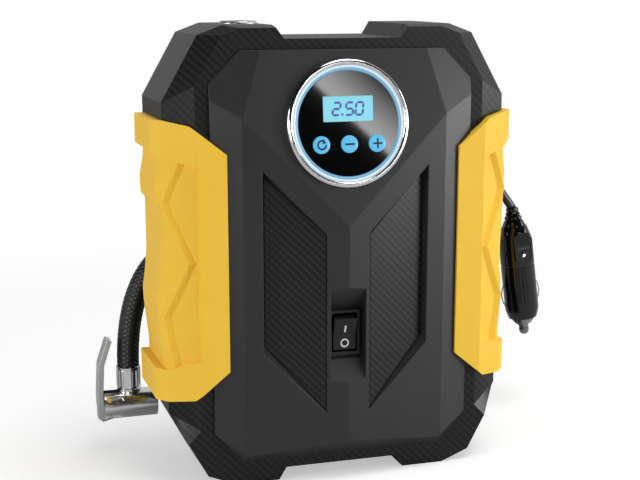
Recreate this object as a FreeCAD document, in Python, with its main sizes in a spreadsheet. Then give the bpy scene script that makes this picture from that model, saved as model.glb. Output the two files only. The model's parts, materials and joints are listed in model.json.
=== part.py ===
"""Portable 12 V tyre inflator with a digital gauge, as a parametric FreeCAD document.

Millimetres, +X to the object's right-hand side as a user faces it, +Y from its front to
its back, +Z up. Z = 0 is the surface that it stands on and X = 0 is the middle of its
width. The document measures depth from the flat front of the rim. The files are written
with Y = 0 in the middle of the object's depth, origin_depth behind that.
"""
import FreeCAD, Part
import math
import os
import re
import Sketcher
from FreeCAD import Placement, Rotation, Vector

# ------------------------------------------------------------------ driving dimensions
SIZES = {
    # case outline, seen from the front
    "origin_depth": 29.5, "half_width": 79, "total_height": 204, "rear_face": 56, "split": 10,
    "wall": 2.5,
    "notch_half": 26.5, "notch_slope": 3.5, "notch_depth": 5.7,
    "foot_half": 50, "foot_corner_x": 63, "foot_corner_z": 5.2, "chamfer_bottom": 35,
    "chamfer_top": 32, "shoulder_corner_x": 63, "shoulder_drop": 4, "shoulder_half": 52,
    # bevel of the rim and chamfer of the back
    "bevel_width": 13, "bevel_depth": 7, "bevel_rise": 7, "bevel_end": 26.8, "bevel_foot": 21,
    "bevel_tail": 1.5, "shoulder_bevel": 9, "crown_bevel": 1.1, "back_chamfer": 4,
    # fascia
    "fascia_half": 60, "fascia_low": 25.3, "fascia_high": 180, "fascia_foot": 47,
    "fascia_bottom": 11, "fascia_crown": 46.5, "fascia_top": 193.7, "fascia_lap": 3.5,
    "fascia_wall": 2.2, "ridge": 10, "crease_x": 46.7, "crease_depth": 5.3,
    "edge_depth": 1.6, "fold_z": 117.3, "corner_z": 165.2, "crown_x": 37.2,
    "crown_depth": 2.6, "keel_z": 18.9,
    # carbon-look inserts
    "insert_inner": 9.9, "insert_outer": 38.3, "insert_inner_top": 114.4,
    "insert_inner_low": 32.5, "insert_outer_top": 142.9, "insert_outer_low": 61.4,
    "insert_sink_inner": 0.5, "insert_sink_outer": 3.8, "insert_wall_run": 2.6,
    "insert_thick": 1.2, "insert_gap": 0.15,
    # case screws
    "screw_in": 10, "screw_low": 38, "screw_mid": 100, "screw_high": 160,
    "boss_radius": 4.5, "boss_front": 5, "boss_meet": 12, "shank_radius": 1.5,
    "shank_gap": 0.1, "screw_tip": 6, "head_radius": 2.8, "head_high": 2.2,
    "head_seat": 46, "head_gap": 0.3,
    # hand grips
    "grip_inner_in": 25.6, "grip_proud": 5, "grip_front": 5,
    "grip_low_in": 54.5, "grip_high_in": 150.2, "grip_high_bend": 162.3,
    "grip_bend_in": 10.3, "grip_top": 164.7, "grip_bottom": 41.5, "grip_back": 45,
    "grip_floor_proud": 1.3, "grip_bump": 2.2, "grip_bump_high": 129, "grip_bump_low": 78.5,
    "grip_meet": 103, "grip_front_sink": 2.5, "grip_plate_sink": 0.7, "grip_plate_edge": 0.17,
    # lamp on the left shoulder
    "lamp_x": -39, "lamp_y": 31, "lamp_radius": 8.5, "lamp_lens_radius": 7,
    "lamp_rim": 1.2, "lamp_depth": 11, "lamp_board_thick": 1.4, "lamp_board_radius": 8,
    # gauge
    "gauge_z": 162, "bezel_outer": 27.8, "bezel_inner": 25.25, "bezel_high": 3.4,
    "glow_outer": 25.1, "glow_inner": 23.45, "glow_high": 2.9, "glow_foot": 0.9,
    "glass_radius": 23.3, "glass_thick": 1.5, "gauge_can_inner": 22.8,
    "gauge_can_depth": 15, "gauge_can_floor": 1.6, "gauge_flange": 27,
    "gauge_hole_gap": 0.3, "board_radius": 22.3, "board_thick": 1.6, "board_level": 7,
    "lcd_wide": 27, "lcd_high": 14, "lcd_thick": 3, "lcd_z": 6.4,
    "key_radius": 3.75, "key_gap": 0.08, "key_pitch": 12.7, "key_drop": 8.8,
    "key_proud": 1.0, "key_travel": 0.8, "key_flange": 5, "key_stem": 1.4,
    "sensor_side": 9, "sensor_high": 4.5, "sensor_nipple": 1.4,
    # rocker switch
    "switch_z": 68, "switch_face": 3.6, "pocket_half": 8.2, "pocket_floor": 1.9,
    "pocket_low": 45.7, "pocket_high": 90.5, "switch_wide": 15, "switch_tall": 21,
    "switch_body_wide": 13, "switch_body_tall": 19, "switch_body_deep": 14,
    "switch_gap": 0.1, "rocker_wide": 11.4, "rocker_reach": 8.6, "rocker_tilt": 10,
    "rocker_sink": 3, "rocker_deep": 4.2, "rocker_gap": 0.25, "switch_wall": 1.0,
    "blade_wide": 4.8, "blade_thick": 0.8, "blade_long": 8, "blade_pitch": 6,
    # motor
    "motor_x": -30, "pump_y": 28, "plate_z": 84, "plate_thick": 3,
    "motor_radius": 17.9, "motor_wall": 1.2, "motor_low": 29, "cap_thick": 4,
    "shaft_radius": 1.6, "fit_gap": 0.05, "shaft_low": 12.5, "armature_radius": 12.4,
    "armature_low": 37, "armature_high": 70, "magnet_inner": 13.2,
    "fan_low": 14.5, "fan_high": 22.5, "fan_radius": 14.5, "fan_hub": 4,
    # gearing and crank
    "gear_module": 0.8, "pinion_teeth": 12, "wheel_teeth": 56, "gear_low": 88,
    "gear_thick": 6, "crank_radius": 8, "crankpin_radius": 2.5, "crankpin_top": 98.6,
    "journal_radius": 4, "bearing_outer": 8, "bearing_high": 5, "bearing_boss": 9.4,
    "weight_radius": 19.5, "weight_thick": 2.6,
    # piston, cylinder and head
    "rod_low": 99, "rod_thick": 5, "rod_half": 3.5, "big_end_radius": 6,
    "rod_length": 44, "piston_radius": 12.4, "piston_thick": 5, "bore_radius": 12.9,
    "cup_radius": 12.85, "cup_thick": 1.6, "cylinder_outer": 15, "fin_radius": 17,
    "fin_thick": 1.4, "cylinder_end": 53, "riser_x": 27, "riser_thick": 4,
    "valve_thick": 1, "head_length": 7, "port_radius": 2.2, "port_long": 5,
    # pump mounting
    "tab_thick": 3, "tab_high": 16, "tab_wide": 9, "left_tab_gap": 10.1, "right_tab_x": 17,
    "post_radius": 4, "sleeve_thick": 1.8, "sleeve_wide": 8, "saddle_low": 40,
    "saddle_x": 40,
    # air hose and chuck
    "hose_radius": 5.25, "hose_back": 7.6, "hose_clip_wall": 1.9, "hose_clip_gap": 0.2,
    "clip_wide": 8,
    "outlet_x": -18, "outlet_wide": 12, "outlet_half": 7, "outlet_z": 14.2,
    "outlet_collar": 4, "nipple_reach": 8, "ferrule_radius": 5.9, "ferrule_long": 12,
    "chuck_radius": 6.9, "chuck_left": -100, "chuck_right": -74.5, "chuck_z": 23.05,
    "valve_hole": 4.1, "valve_deep": 8.5, "seal_radius": 3.6, "seal_thick": 3.5,
    "fork_wide": 5.2, "fork_deep": 8,
    "lever_pin_x": -97, "lever_pin_z": 19.5, "lever_pin_radius": 1.25,
    "lever_wide": 9, "lever_neck": 4.8, "lever_thick": 2.4, "lever_high": 36,
    # power cord and plug
    "cord_radius": 2.25, "relief_x": 40, "relief_z": 62, "relief_long": 12,
    "relief_radius": 4.6, "coil_x": 35, "coil_y": 128, "coil_ring": 26,
    "coil_section": 10.5, "tie_wide": 9, "tie_thick": 1.2,
    "tie_open": 12, "tie_rise": 1.8,
    "cord_clip_x": 58, "cord_clip_z": 136, "cord_clip_back": 10.3, "cord_clip_wide": 4,
    "cord_clip_wall": 1.6,
    "plug_x": 118.9, "plug_y": 75, "plug_z": 106.6, "plug_tilt": 8,
    "plug_radius": 8.9, "plug_boot": 9, "plug_shoulder": 17, "plug_barrel_end": 55.5,
    "plug_nose_end": 59.6, "plug_collar_radius": 5.6, "plug_collar_end": 63,
    "plug_tip_radius": 2.7, "plug_tip_end": 69.5, "plug_tip_travel": 3,
    "contact_reach": 11.3, "contact_from": 39, "contact_to": 53.5, "contact_wire": 0.6,
    "fuse_radius": 3.1, "plug_bore": 3.4,
}

# Chosen points of the soft runs, and their order from the case outwards.
HOSE_ROUTE = [
    (-2, 14.2), (14, 14.2), (45, 15.4), (73, 42.7), (73, 83.3), (44.3, 112),
    (-6, 114), (-56, 108), (-87.5, 78), (-87.5, 42),
]
CORD_ROUTE_CASE = [
    (40, 68, 62), (40, 86, 61), (40, 101, 49), (35, 106, 32), (20, 106, 20),
]
CORD_ROUTE_PLUG = [
    (61, 128, 19.5), (62, 108, 33), (56, 95, 60), (37, 86, 82), (21, 78, 102),
    (19, 71.5, 123), (36, 67, 137), (56, 66.2, 136), (72, 66.6, 136), (96, 74, 131),
    (109.6, 75, 119.6), (118.9, 75, 106.6),
]
AIR_TUBE_ROUTE = [
    (57.5, 28, 80.5), (57.5, 28, 46), (54, 31, 18), (28, 38, 12), (2, 38, 12),
    (-8.5, 41, 13.6), (-10, 47.5, 14.2),
]
SENSOR_TUBE_ROUTE = [
    (57.5, 28, 122.5), (57.5, 28, 142), (44, 29, 158), (20, 30, 163), (3, 27, 163.8),
    (0, 13.6, 163.8),
]
TUBE_RADIUS = 2.5
SENSOR_TUBE_RADIUS = 2.1

# Left edge of the pump frame's left tab, beside the motor.
LEFT_TAB = "(motor_x - motor_radius - left_tab_gap)"

doc = FreeCAD.newDocument("tyre_inflator")
sheet = doc.addObject("Spreadsheet::Sheet", "dims")
for row, (alias, number) in enumerate(SIZES.items(), start=1):
    sheet.set(f"A{row}", alias)
    sheet.set(f"B{row}", str(number))
    sheet.setAlias(f"B{row}", alias)
doc.recompute()

WORD = re.compile(r"[a-z][a-z_]+")
UPRIGHT = Rotation()
DOWN = Rotation(Vector(1, 0, 0), 180)
TO_RIGHT = Rotation(Vector(0, 1, 0), 90)
TO_LEFT = Rotation(Vector(0, 1, 0), -90)
TO_BACK = Rotation(Vector(1, 0, 0), -90)
TO_FRONT = Rotation(Vector(1, 0, 0), 90)
NODES = []


# ------------------------------------------------------------------ helpers
def size(alias):
    """The value that the sheet holds for an alias."""
    return float(getattr(sheet, alias))


def bind(target, prop, formula):
    """Tie a property to a formula written with the aliases of the sheet."""
    known = WORD.sub(lambda word: prefixed(word.group(0)), str(formula))
    target.setExpression(prop, known)


def prefixed(word):
    return "dims." + word if word in SIZES else word


def put(target, at, turn=UPRIGHT):
    """Place an object: the turn is fixed, the three coordinates are formulas."""
    target.Placement = Placement(Vector(), turn)
    for axis, formula in zip("xyz", at):
        bind(target, "Placement.Base." + axis, formula)
    return target


def cylinder(name, radius, length, at, turn=UPRIGHT):
    made = doc.addObject("Part::Cylinder", name)
    bind(made, "Radius", radius)
    bind(made, "Height", length)
    return put(made, at, turn)


def block(name, lengths, at, turn=UPRIGHT):
    """A box from its lowest corner."""
    made = doc.addObject("Part::Box", name)
    for prop, formula in zip(("Length", "Width", "Height"), lengths):
        bind(made, prop, formula)
    return put(made, at, turn)


def cut(name, base, *tools):
    """Take each tool away from the base."""
    made = doc.addObject("Part::Cut", name)
    made.Base = base
    made.Tool = tools[0] if len(tools) == 1 else together(name + "_tools", tools)
    return made


def together(name, pieces):
    made = doc.addObject("Part::MultiFuse", name)
    made.Shapes = list(pieces)
    return made


def group(name, pieces):
    """Several separate solids that share one node."""
    made = doc.addObject("Part::Compound", name)
    made.Links = list(pieces)
    return made


def computed(name, shape):
    made = doc.addObject("Part::Feature", name)
    made.Shape = shape
    return made


def node(label, made):
    """Give a finished piece the label that names its file."""
    made.Label = label
    NODES.append(made)
    return made


def origin_plane(body, role):
    return next(item for item in body.Origin.OriginFeatures if item.Role == role)


def polygon_sketch(body, name, role, points, offset="0"):
    """A closed outline on an origin plane, each corner held by two bound distances."""
    sketch = body.newObject("Sketcher::SketchObject", name)
    sketch.AttachmentSupport = [(origin_plane(body, role), "")]
    sketch.MapMode = "FlatFace"
    bind(sketch, "AttachmentOffset.Base.z", offset)
    count = len(points)
    start = [Vector(100 * math.cos(math.tau * i / count), 100 * math.sin(math.tau * i / count), 0)
             for i in range(count)]
    for i in range(count):
        sketch.addGeometry(Part.LineSegment(start[i], start[(i + 1) % count]))
    for i in range(count):
        sketch.addConstraint(Sketcher.Constraint("Coincident", i, 2, (i + 1) % count, 1))
    for i, point in enumerate(points):
        for kind, formula, first in (("DistanceX", point[0], start[i].x),
                                     ("DistanceY", point[1], start[i].y)):
            held = sketch.addConstraint(Sketcher.Constraint(kind, -1, 1, i, 1, first))
            bind(sketch, f"Constraints[{held}]", formula)
    return sketch


def pad(body, name, sketch, length, backwards=False, midplane=False):
    made = body.newObject("PartDesign::Pad", name)
    made.Profile = sketch
    bind(made, "Length", length)
    made.Reversed = backwards
    made.Midplane = midplane
    return made


def prism(name, role, points, length, offset="0", backwards=False, midplane=False):
    """A body with one padded outline."""
    body = doc.addObject("PartDesign::Body", name)
    sketch = polygon_sketch(body, name + "_outline", role, points, offset)
    pad(body, name + "_pad", sketch, length, backwards, midplane)
    return body


def turned(name, points, at=("0", "0", "0"), turn=UPRIGHT):
    """A body of revolution about its own Z from (radius, height) corners."""
    body = doc.addObject("PartDesign::Body", name)
    sketch = polygon_sketch(body, name + "_profile", "XZ_Plane", points)
    made = body.newObject("PartDesign::Revolution", name + "_turn")
    made.Profile = sketch
    made.ReferenceAxis = (sketch, ["V_Axis"])
    made.Angle = 360
    return put(body, at, turn)


def loft(body, name, kind, first, second):
    made = body.newObject(kind, name)
    made.Profile = first
    made.Sections = [second]
    made.Ruled = True
    return made


def mirrored_outline(half):
    """The full outline from the corners of its right half, low to high."""
    left = [(f"-({x})", z) for x, z in reversed(half)]
    return list(half) + left


def faceted(points, faces):
    """A solid with flat faces, from its corners and lists of corner numbers."""
    made = []
    for face in faces:
        ring = [points[i] for i in face]
        made.append(Part.Face(Part.makePolygon(ring + ring[:1])))
    solid = Part.Solid(Part.makeShell(made))
    if solid.Volume < 0:
        solid.reverse()
    return solid


def flat_prism(points, along):
    """A solid swept from a flat ring of points along a vector."""
    return Part.Face(Part.makePolygon(points + points[:1])).extrude(along)


def routed_tube(points, radius, report=None):
    """A round tube of straight runs joined by tangent arcs."""
    points = [Vector(*point) for point in points]
    edges = []
    start = points[0]
    radii = []
    for before, corner, after in zip(points, points[1:], points[2:]):
        arrive = (corner - before).normalize()
        leave = (after - corner).normalize()
        turn = arrive.getAngle(leave)
        reach = 0.45 * min((corner - before).Length, (after - corner).Length)
        radii.append(reach / math.tan(turn / 2))
        enter = corner - arrive * reach
        exit_point = corner + leave * reach
        inward = (leave - arrive).normalize()
        middle = corner + inward * (radii[-1] / math.cos(turn / 2) - radii[-1])
        edges.append(Part.makeLine(start, enter))
        edges.append(Part.Arc(enter, middle, exit_point).toShape())
        start = exit_point
    edges.append(Part.makeLine(start, points[-1]))
    path = Part.Wire(edges)
    heading = (points[1] - points[0]).normalize()
    section = Part.Wire(Part.makeCircle(radius, points[0], heading))
    tube = path.makePipeShell([section], True, False)
    if report:
        tightest = min(radii)
        ratio = tube.Volume / (math.pi * radius ** 2 * path.Length)
        print(f"{report}: length {path.Length:.1f}, tightest radius {tightest:.1f}"
              f" = {tightest / (2 * radius):.1f} diameters, volume ratio {ratio:.4f}")
    return tube


# ------------------------------------------------------------------ outlines of the case
def case_outline(inset):
    """The case from the front: two feet, chamfered sides and two raised shoulders."""
    half = [
        (f"notch_half + {inset} / 2", f"notch_depth + {inset}"),
        (f"notch_half + notch_slope + {inset} / 2", f"{inset}"),
        (f"foot_half - {inset} / 8", f"{inset}"),
        (f"foot_corner_x - {inset} * 0.7", f"foot_corner_z + {inset} * 0.8"),
        (f"half_width - {inset}", f"chamfer_bottom + {inset} / 4"),
        (f"half_width - {inset}", f"total_height - chamfer_top - {inset} / 4"),
        (f"shoulder_corner_x - {inset} * 0.7", f"total_height - shoulder_drop - {inset} * 0.8"),
        (f"shoulder_half - {inset} / 8", f"total_height - {inset}"),
        (f"notch_half + notch_slope + {inset} / 2", f"total_height - {inset}"),
        (f"notch_half + {inset} / 2", f"total_height - notch_depth - {inset}"),
    ]
    return mirrored_outline(half)


def rim_outline(inset, bevelled):
    """The case outline with one more corner, where the side bevel runs out.

    Bevelled, it is the smaller outline of the rim's flat front.
    """
    foot = "bevel_foot" if bevelled else "(chamfer_bottom - bevel_tail)"
    run_out = ("foot_corner_x + (half_width - foot_corner_x)"
               f" * ({foot} - foot_corner_z) / (chamfer_bottom - foot_corner_z)")
    side = "bevel_width" if bevelled else "0"
    rise = "bevel_rise" if bevelled else "0"
    crown = "crown_bevel" if bevelled else "0"
    corner = "shoulder_bevel" if bevelled else "0"
    low = "bevel_end" if bevelled else "chamfer_bottom"
    half = [
        (f"notch_half + {inset} / 2", f"notch_depth + {inset}"),
        (f"notch_half + notch_slope + {inset} / 2", f"{inset}"),
        (f"foot_half - {inset} / 8", f"{inset}"),
        (f"foot_corner_x - {inset} * 0.7", f"foot_corner_z + {inset} * 0.8"),
        (f"{run_out} - {inset}", foot),
        (f"half_width - {side} - {inset}", f"{low} + {inset} / 4"),
        (f"half_width - {side} - {inset}", f"total_height - chamfer_top + {rise} - {inset} / 4"),
        (f"shoulder_corner_x - {corner} - {inset} * 0.7",
         f"total_height - shoulder_drop - {inset} * 0.8"),
        (f"shoulder_half - {corner} * 2 / 3 - {inset} / 8", f"total_height - {crown} - {inset}"),
        (f"notch_half + notch_slope + {inset} / 2", f"total_height - {crown} - {inset}"),
        (f"notch_half + {inset} / 2", f"total_height - notch_depth - {inset}"),
    ]
    return mirrored_outline(half)


def fascia_outline(inset):
    half = [
        (f"fascia_foot - {inset} / 2", f"fascia_bottom + {inset}"),
        (f"fascia_half - {inset}", f"fascia_low + {inset} / 2"),
        (f"fascia_half - {inset}", f"fascia_high - {inset} / 2"),
        (f"fascia_crown - {inset} / 2", f"fascia_top - {inset}"),
    ]
    return mirrored_outline(half)


def screw_places():
    """Where the six case screws stand, as (x, z) formulas."""
    return [(x, z) for x in ("-(half_width - screw_in)", "half_width - screw_in")
            for z in ("screw_low", "screw_mid", "screw_high")]


# ------------------------------------------------------------------ case
def make_front_shell():
    """The rim: a shallow frame with a bevelled front, open behind the fascia."""
    body = doc.addObject("PartDesign::Body", "front_frame")
    front = polygon_sketch(body, "front_flat", "XZ_Plane", rim_outline("0", True))
    back = polygon_sketch(body, "front_full", "XZ_Plane", rim_outline("0", False), "-bevel_depth")
    loft(body, "front_bevel", "PartDesign::AdditiveLoft", front, back)
    pad(body, "front_depth", back, "split - bevel_depth", backwards=True)
    near = polygon_sketch(body, "front_near", "XZ_Plane", rim_outline("wall", True), "-wall")
    far = polygon_sketch(body, "front_far", "XZ_Plane", rim_outline("wall", False), "-split")
    loft(body, "front_hollow", "PartDesign::SubtractiveLoft", near, far)
    window = polygon_sketch(body, "front_window", "XZ_Plane", fascia_outline("fascia_lap"))
    opening = body.newObject("PartDesign::Pocket", "front_opening")
    opening.Profile = window
    opening.Type = "ThroughAll"
    bosses = []
    holes = []
    for i, (x, z) in enumerate(screw_places()):
        bosses.append(cylinder(f"front_boss{i}", "boss_radius", "boss_meet - boss_front",
                               (x, "boss_front", z), TO_BACK))
        holes.append(cylinder(f"front_pilot{i}", "shank_radius + shank_gap",
                              "boss_meet - boss_front + 1", (x, "boss_front + 0.5", z), TO_BACK))
    solid = together("front_with_bosses", [body] + bosses)
    node("front_shell", cut("front_shell_cut", solid, *holes))


def make_rear_shell():
    """The deep back shell, with screw bosses, pump carriers, vents and outlets."""
    body = doc.addObject("PartDesign::Body", "rear_box")
    open_end = polygon_sketch(body, "rear_open", "XZ_Plane", case_outline("0"), "-split")
    pad(body, "rear_depth", open_end, "rear_face - back_chamfer - split", backwards=True)
    shoulder = polygon_sketch(body, "rear_edge", "XZ_Plane", case_outline("0"),
                              "back_chamfer - rear_face")
    back = polygon_sketch(body, "rear_back", "XZ_Plane", case_outline("back_chamfer"), "-rear_face")
    loft(body, "rear_chamfer", "PartDesign::AdditiveLoft", shoulder, back)
    inside = polygon_sketch(body, "rear_inside", "XZ_Plane", case_outline("wall"), "-split")
    hollow = body.newObject("PartDesign::Pocket", "rear_hollow")
    hollow.Profile = inside
    bind(hollow, "Length", "rear_face - wall - 0.5 - split")
    added = [body]
    holes = []
    for i, (x, z) in enumerate(screw_places()):
        added.append(cylinder(f"rear_boss{i}", "boss_radius", "rear_face - wall - boss_meet",
                              (x, "boss_meet", z), TO_BACK))
        holes.append(cylinder(f"rear_shank{i}", "shank_radius + shank_gap", "rear_face",
                              (x, "boss_meet - 1", z), TO_BACK))
        holes.append(cylinder(f"rear_counterbore{i}", "head_radius + head_gap", "rear_face",
                              (x, "head_seat - head_high", z), TO_BACK))
    added += pump_carriers()
    holes += vents()
    holes.append(cylinder("lamp_hole", "lamp_radius - lamp_rim", "wall * 4",
                          ("lamp_x", "lamp_y", "total_height - wall * 3")))
    holes.append(cylinder("relief_hole", "relief_radius - 1.2", "wall * 4",
                          ("relief_x", "rear_face - wall * 2", "relief_z"), TO_BACK))
    holes.append(cylinder("outlet_hole", "port_radius + 0.1", "wall * 4",
                          ("outlet_x + 8", "rear_face - wall * 2", "outlet_z"), TO_BACK))
    solid = together("rear_with_bosses", added)
    node("rear_shell", cut("rear_shell_cut", solid, *holes))


def pump_carriers():
    """Posts and two half-round saddles that the pump and its motor sit in."""
    inner = "rear_face - wall - 0.5"
    posts = []
    for side, x in (("left", f"{LEFT_TAB} + tab_wide / 2"), ("right", "right_tab_x + tab_wide / 2")):
        posts.append(cut(side + "_post",
                         cylinder(side + "_post_rod", "post_radius", f"{inner} + 0.5 - pump_y",
                                  (x, "pump_y", "plate_z - tab_high / 2"), TO_BACK),
                         cylinder(side + "_post_bore", "shank_radius + shank_gap", "14",
                                  (x, "pump_y - 1", "plate_z - tab_high / 2"), TO_BACK)))
    hug = "motor_radius + sleeve_thick"
    motor_rib = cut("motor_saddle",
                    block("motor_saddle_rib", (f"({hug}) * 2 + 6", f"{inner} + 0.5 - pump_y", "3"),
                          (f"motor_x - ({hug}) - 3", "pump_y", "saddle_low + 2.5")),
                    cylinder("motor_saddle_round", hug, "5",
                             ("motor_x", "pump_y", "saddle_low + 1.5")))
    grasp = "fin_radius + sleeve_thick"
    level = "rod_low + rod_thick / 2"
    head_rib = cut("cylinder_saddle",
                   block("cylinder_saddle_rib", ("3", f"{inner} + 0.5 - pump_y",
                                                 f"({grasp}) * 2 + 6"),
                         ("saddle_x", "pump_y", f"{level} - ({grasp}) - 3")),
                   cylinder("cylinder_saddle_round", grasp, "5",
                            ("saddle_x - 1", "pump_y", level), TO_RIGHT))
    return posts + [motor_rib, head_rib]


def vents():
    """Slots through the back, behind the motor and the cylinder, and under the fan."""
    slots = []
    for i in range(7):
        slots.append(block(f"motor_vent{i}", ("26", "wall * 4", "2.4"),
                           ("motor_x - 13", "rear_face - wall * 2", f"52 + {i} * 6")))
        slots.append(block(f"top_vent{i}", ("60", "wall * 4", "2.4"),
                           ("-30", "rear_face - wall * 2", f"146 + {i} * 6")))
    for i in range(5):
        slots.append(block(f"fan_vent{i}", ("22", "2.4", "wall * 4"),
                           ("-11", f"20 + {i} * 6", "notch_depth - wall")))
    return slots


def make_case_screws():
    screws = []
    for i, (x, z) in enumerate(screw_places()):
        shank = cylinder(f"screw_shank{i}", "shank_radius", "head_seat - screw_tip",
                         (x, "screw_tip", z), TO_BACK)
        head = cylinder(f"screw_head{i}", "head_radius", "head_high",
                        (x, "head_seat - head_high", z), TO_BACK)
        drive = cylinder(f"screw_drive{i}", "head_radius / 2", "1.2",
                         (x, "head_seat - 1.2", z), TO_BACK)
        screws.append(cut(f"case_screw{i}", together(f"screw_solid{i}", [shank, head]), drive))
    return screws


# ------------------------------------------------------------------ fascia and inserts
def roof(x):
    """Depth of the fascia's folded middle at a distance x from the ridge."""
    return -size("ridge") + (size("ridge") - size("crease_depth")) / size("crease_x") * abs(x)


def fascia_facets(shift):
    """The planes that face the front, each as three points, moved back by a shift."""
    crease = size("crease_x")
    depth = -size("crease_depth")
    edge = -size("edge_depth")
    half = size("fascia_half")
    foot = size("fascia_foot")
    corner = size("corner_z")
    fold = size("fold_z")
    keel = size("keel_z")
    low = size("fascia_bottom")
    facets = [
        [(-crease, depth, corner), (crease, depth, corner), (0, -size("ridge"), fold)],
        [(0, -size("ridge"), keel), (1, -size("ridge"), keel), (0, edge, low)],
    ]
    for side in (-1, 1):
        facets += [
            [(0, -size("ridge"), 0), (0, -size("ridge"), 1), (side * crease, depth, 0)],
            [(side * crease, depth, 0), (side * crease, depth, 1), (side * half, edge, 0)],
            [(side * crease, depth, corner), (side * size("crown_x"), -size("crown_depth"),
                                              size("fascia_top")),
             (side * half, -0.5, size("fascia_high"))],
            [(side * (half - 1.5), edge - 0.45, size("fascia_low") - 1.5),
             (side * foot, edge, low), (side * crease, depth, low + 4.6)],
        ]
    return [[Vector(x, y + shift, z) for x, y, z in facet] for facet in facets]


def trimmed(solid, facets):
    """Take away all that lies in front of each plane."""
    reach = 400
    for first, second, third in facets:
        normal = (second - first).cross(third - first).normalize()
        if normal.y > 0:
            normal = normal * -1
        slab = Part.makeBox(reach, reach, reach, Vector(-reach / 2, -reach / 2, 0))
        slab.Placement = Placement(first, Rotation(Vector(0, 0, 1), normal))
        solid = solid.cut(slab)
    return solid


def fascia_block(inset, shift, back):
    """The fascia's outer form, or with an inset and a shift the hollow behind it."""
    half = [
        (size("fascia_foot") - inset / 2, size("fascia_bottom") + inset),
        (size("fascia_half") - inset, size("fascia_low") + inset / 2),
        (size("fascia_half") - inset, size("fascia_high") - inset / 2),
        (size("fascia_crown") - inset / 2, size("fascia_top") - inset),
    ]
    front = -size("ridge") * 2
    ring = [Vector(x, front, z) for x, z in half] + [Vector(-x, front, z) for x, z in half[::-1]]
    return trimmed(flat_prism(ring, Vector(0, back - front, 0)), fascia_facets(shift))


def insert_rings(side, grow):
    """Four corners of a recess at the surface, and four on its floor."""
    inner = size("insert_inner") - grow
    outer = size("insert_outer") + grow
    run = size("insert_wall_run")
    corners = [(inner, size("insert_inner_low") - grow), (outer, size("insert_outer_low") - grow),
               (outer, size("insert_outer_top") + grow), (inner, size("insert_inner_top") + grow)]
    floor = [(inner + 0.1, size("insert_inner_low") + 0.6 - grow),
             (outer - 1.2, size("insert_outer_low") + run - grow),
             (outer - 1.2, size("insert_outer_top") - run + grow),
             (inner + 0.1, size("insert_inner_top") - 0.6 + grow)]
    sinks = [size("insert_sink_inner"), size("insert_sink_outer")]
    depth = [sinks[0], sinks[1], sinks[1], sinks[0]]
    mouth = [Vector(side * x, roof(x) - 0.01, z) for x, z in corners]
    base = [Vector(side * x, roof(x) + deep, z) for (x, z), deep in zip(floor, depth)]
    return mouth, base


def wedge_between(near, far):
    """A solid between two four-sided rings."""
    faces = [(0, 1, 2), (0, 2, 3), (4, 6, 5), (4, 7, 6)]
    for i in range(4):
        following = (i + 1) % 4
        faces += [(i, following, 4 + following), (i, 4 + following, 4 + i)]
    return faceted(list(near) + list(far), faces)


def shrunk(ring, gap):
    """A flat ring drawn in towards its centre, its corners by about a gap."""
    centre = sum(ring, Vector()) * (1 / len(ring))
    return [point + (centre - point).normalize() * gap * 2 for point in ring]


def insert_recess(side, grow=0.0):
    """The tapered recess that holds an insert. Grown, it is the pocket around it."""
    mouth, base = insert_rings(side, grow)
    lifted = [point + Vector(0, -3, 0) for point in mouth]
    deeper = [point + Vector(0, size("insert_thick") + grow, 0) for point in base]
    return wedge_between(lifted, mouth).fuse(wedge_between(mouth, base)).fuse(
        wedge_between(base, deeper)).removeSplitter()


def switch_pocket(grow=0.0):
    """The trough on the ridge, with a long slope above and below the switch."""
    half = size("pocket_half") + grow
    top = size("switch_z") + size("switch_tall") / 2 + 0.3
    low = size("switch_z") - size("switch_tall") / 2 - 0.3
    floor = -size("pocket_floor") + grow
    ring = [Vector(-half, -size("ridge") - 0.4, size("pocket_high") + grow),
            Vector(-half, -size("ridge") - 6, size("pocket_high") + grow),
            Vector(-half, -size("ridge") - 6, size("pocket_low") - grow),
            Vector(-half, -size("ridge") - 0.4, size("pocket_low") - grow),
            Vector(-half, floor, low - grow), Vector(-half, floor, top + grow)]
    return flat_prism(ring, Vector(2 * half, 0, 0))


def gauge_turn():
    """The gauge faces square to the fascia's upper plane."""
    rise = (size("ridge") - size("crease_depth")) / (size("corner_z") - size("fold_z"))
    return Rotation(Vector(1, 0, 0), 90 - math.degrees(math.atan(rise)))


def gauge_place():
    rise = (size("ridge") - size("crease_depth")) / (size("corner_z") - size("fold_z"))
    depth = -size("ridge") + rise * (size("gauge_z") - size("fold_z"))
    return Placement(Vector(0, depth, size("gauge_z")), gauge_turn())


def make_fascia():
    """The folded front panel, with two recesses, the switch pocket and the gauge hole."""
    wall = size("fascia_wall")
    hollow = fascia_block(size("fascia_lap") + 0.2, wall, 5)
    for pocket in (insert_recess(-1, 1.6), insert_recess(1, 1.6), switch_pocket(1.8)):
        hollow = hollow.cut(pocket)
    panel = fascia_block(0, 0, 0).cut(hollow)
    for recess in (insert_recess(-1), insert_recess(1), switch_pocket()):
        panel = panel.cut(recess)
    hole = Part.makeCylinder(size("glow_outer") + size("gauge_hole_gap"), 30, Vector(0, 0, -15))
    hole.Placement = gauge_place().multiply(hole.Placement)
    gap = size("switch_gap")
    wide = size("switch_body_wide") + 2 * gap
    tall = size("switch_body_tall") + 2 * gap
    slot = Part.makeBox(wide, 20, tall, Vector(-wide / 2, -10, size("switch_z") - tall / 2))
    node("fascia", computed("fascia_panel", panel.cut(hole).cut(slot)))


def make_inserts():
    """Two carbon-look plates that lie on the floors of the recesses."""
    for side, label in ((-1, "insert_left"), (1, "insert_right")):
        base = shrunk(insert_rings(side, 0)[1], size("insert_gap"))
        deeper = [point + Vector(0, size("insert_thick"), 0) for point in base]
        node(label, computed(label + "_plate", wedge_between(base, deeper)))


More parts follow.
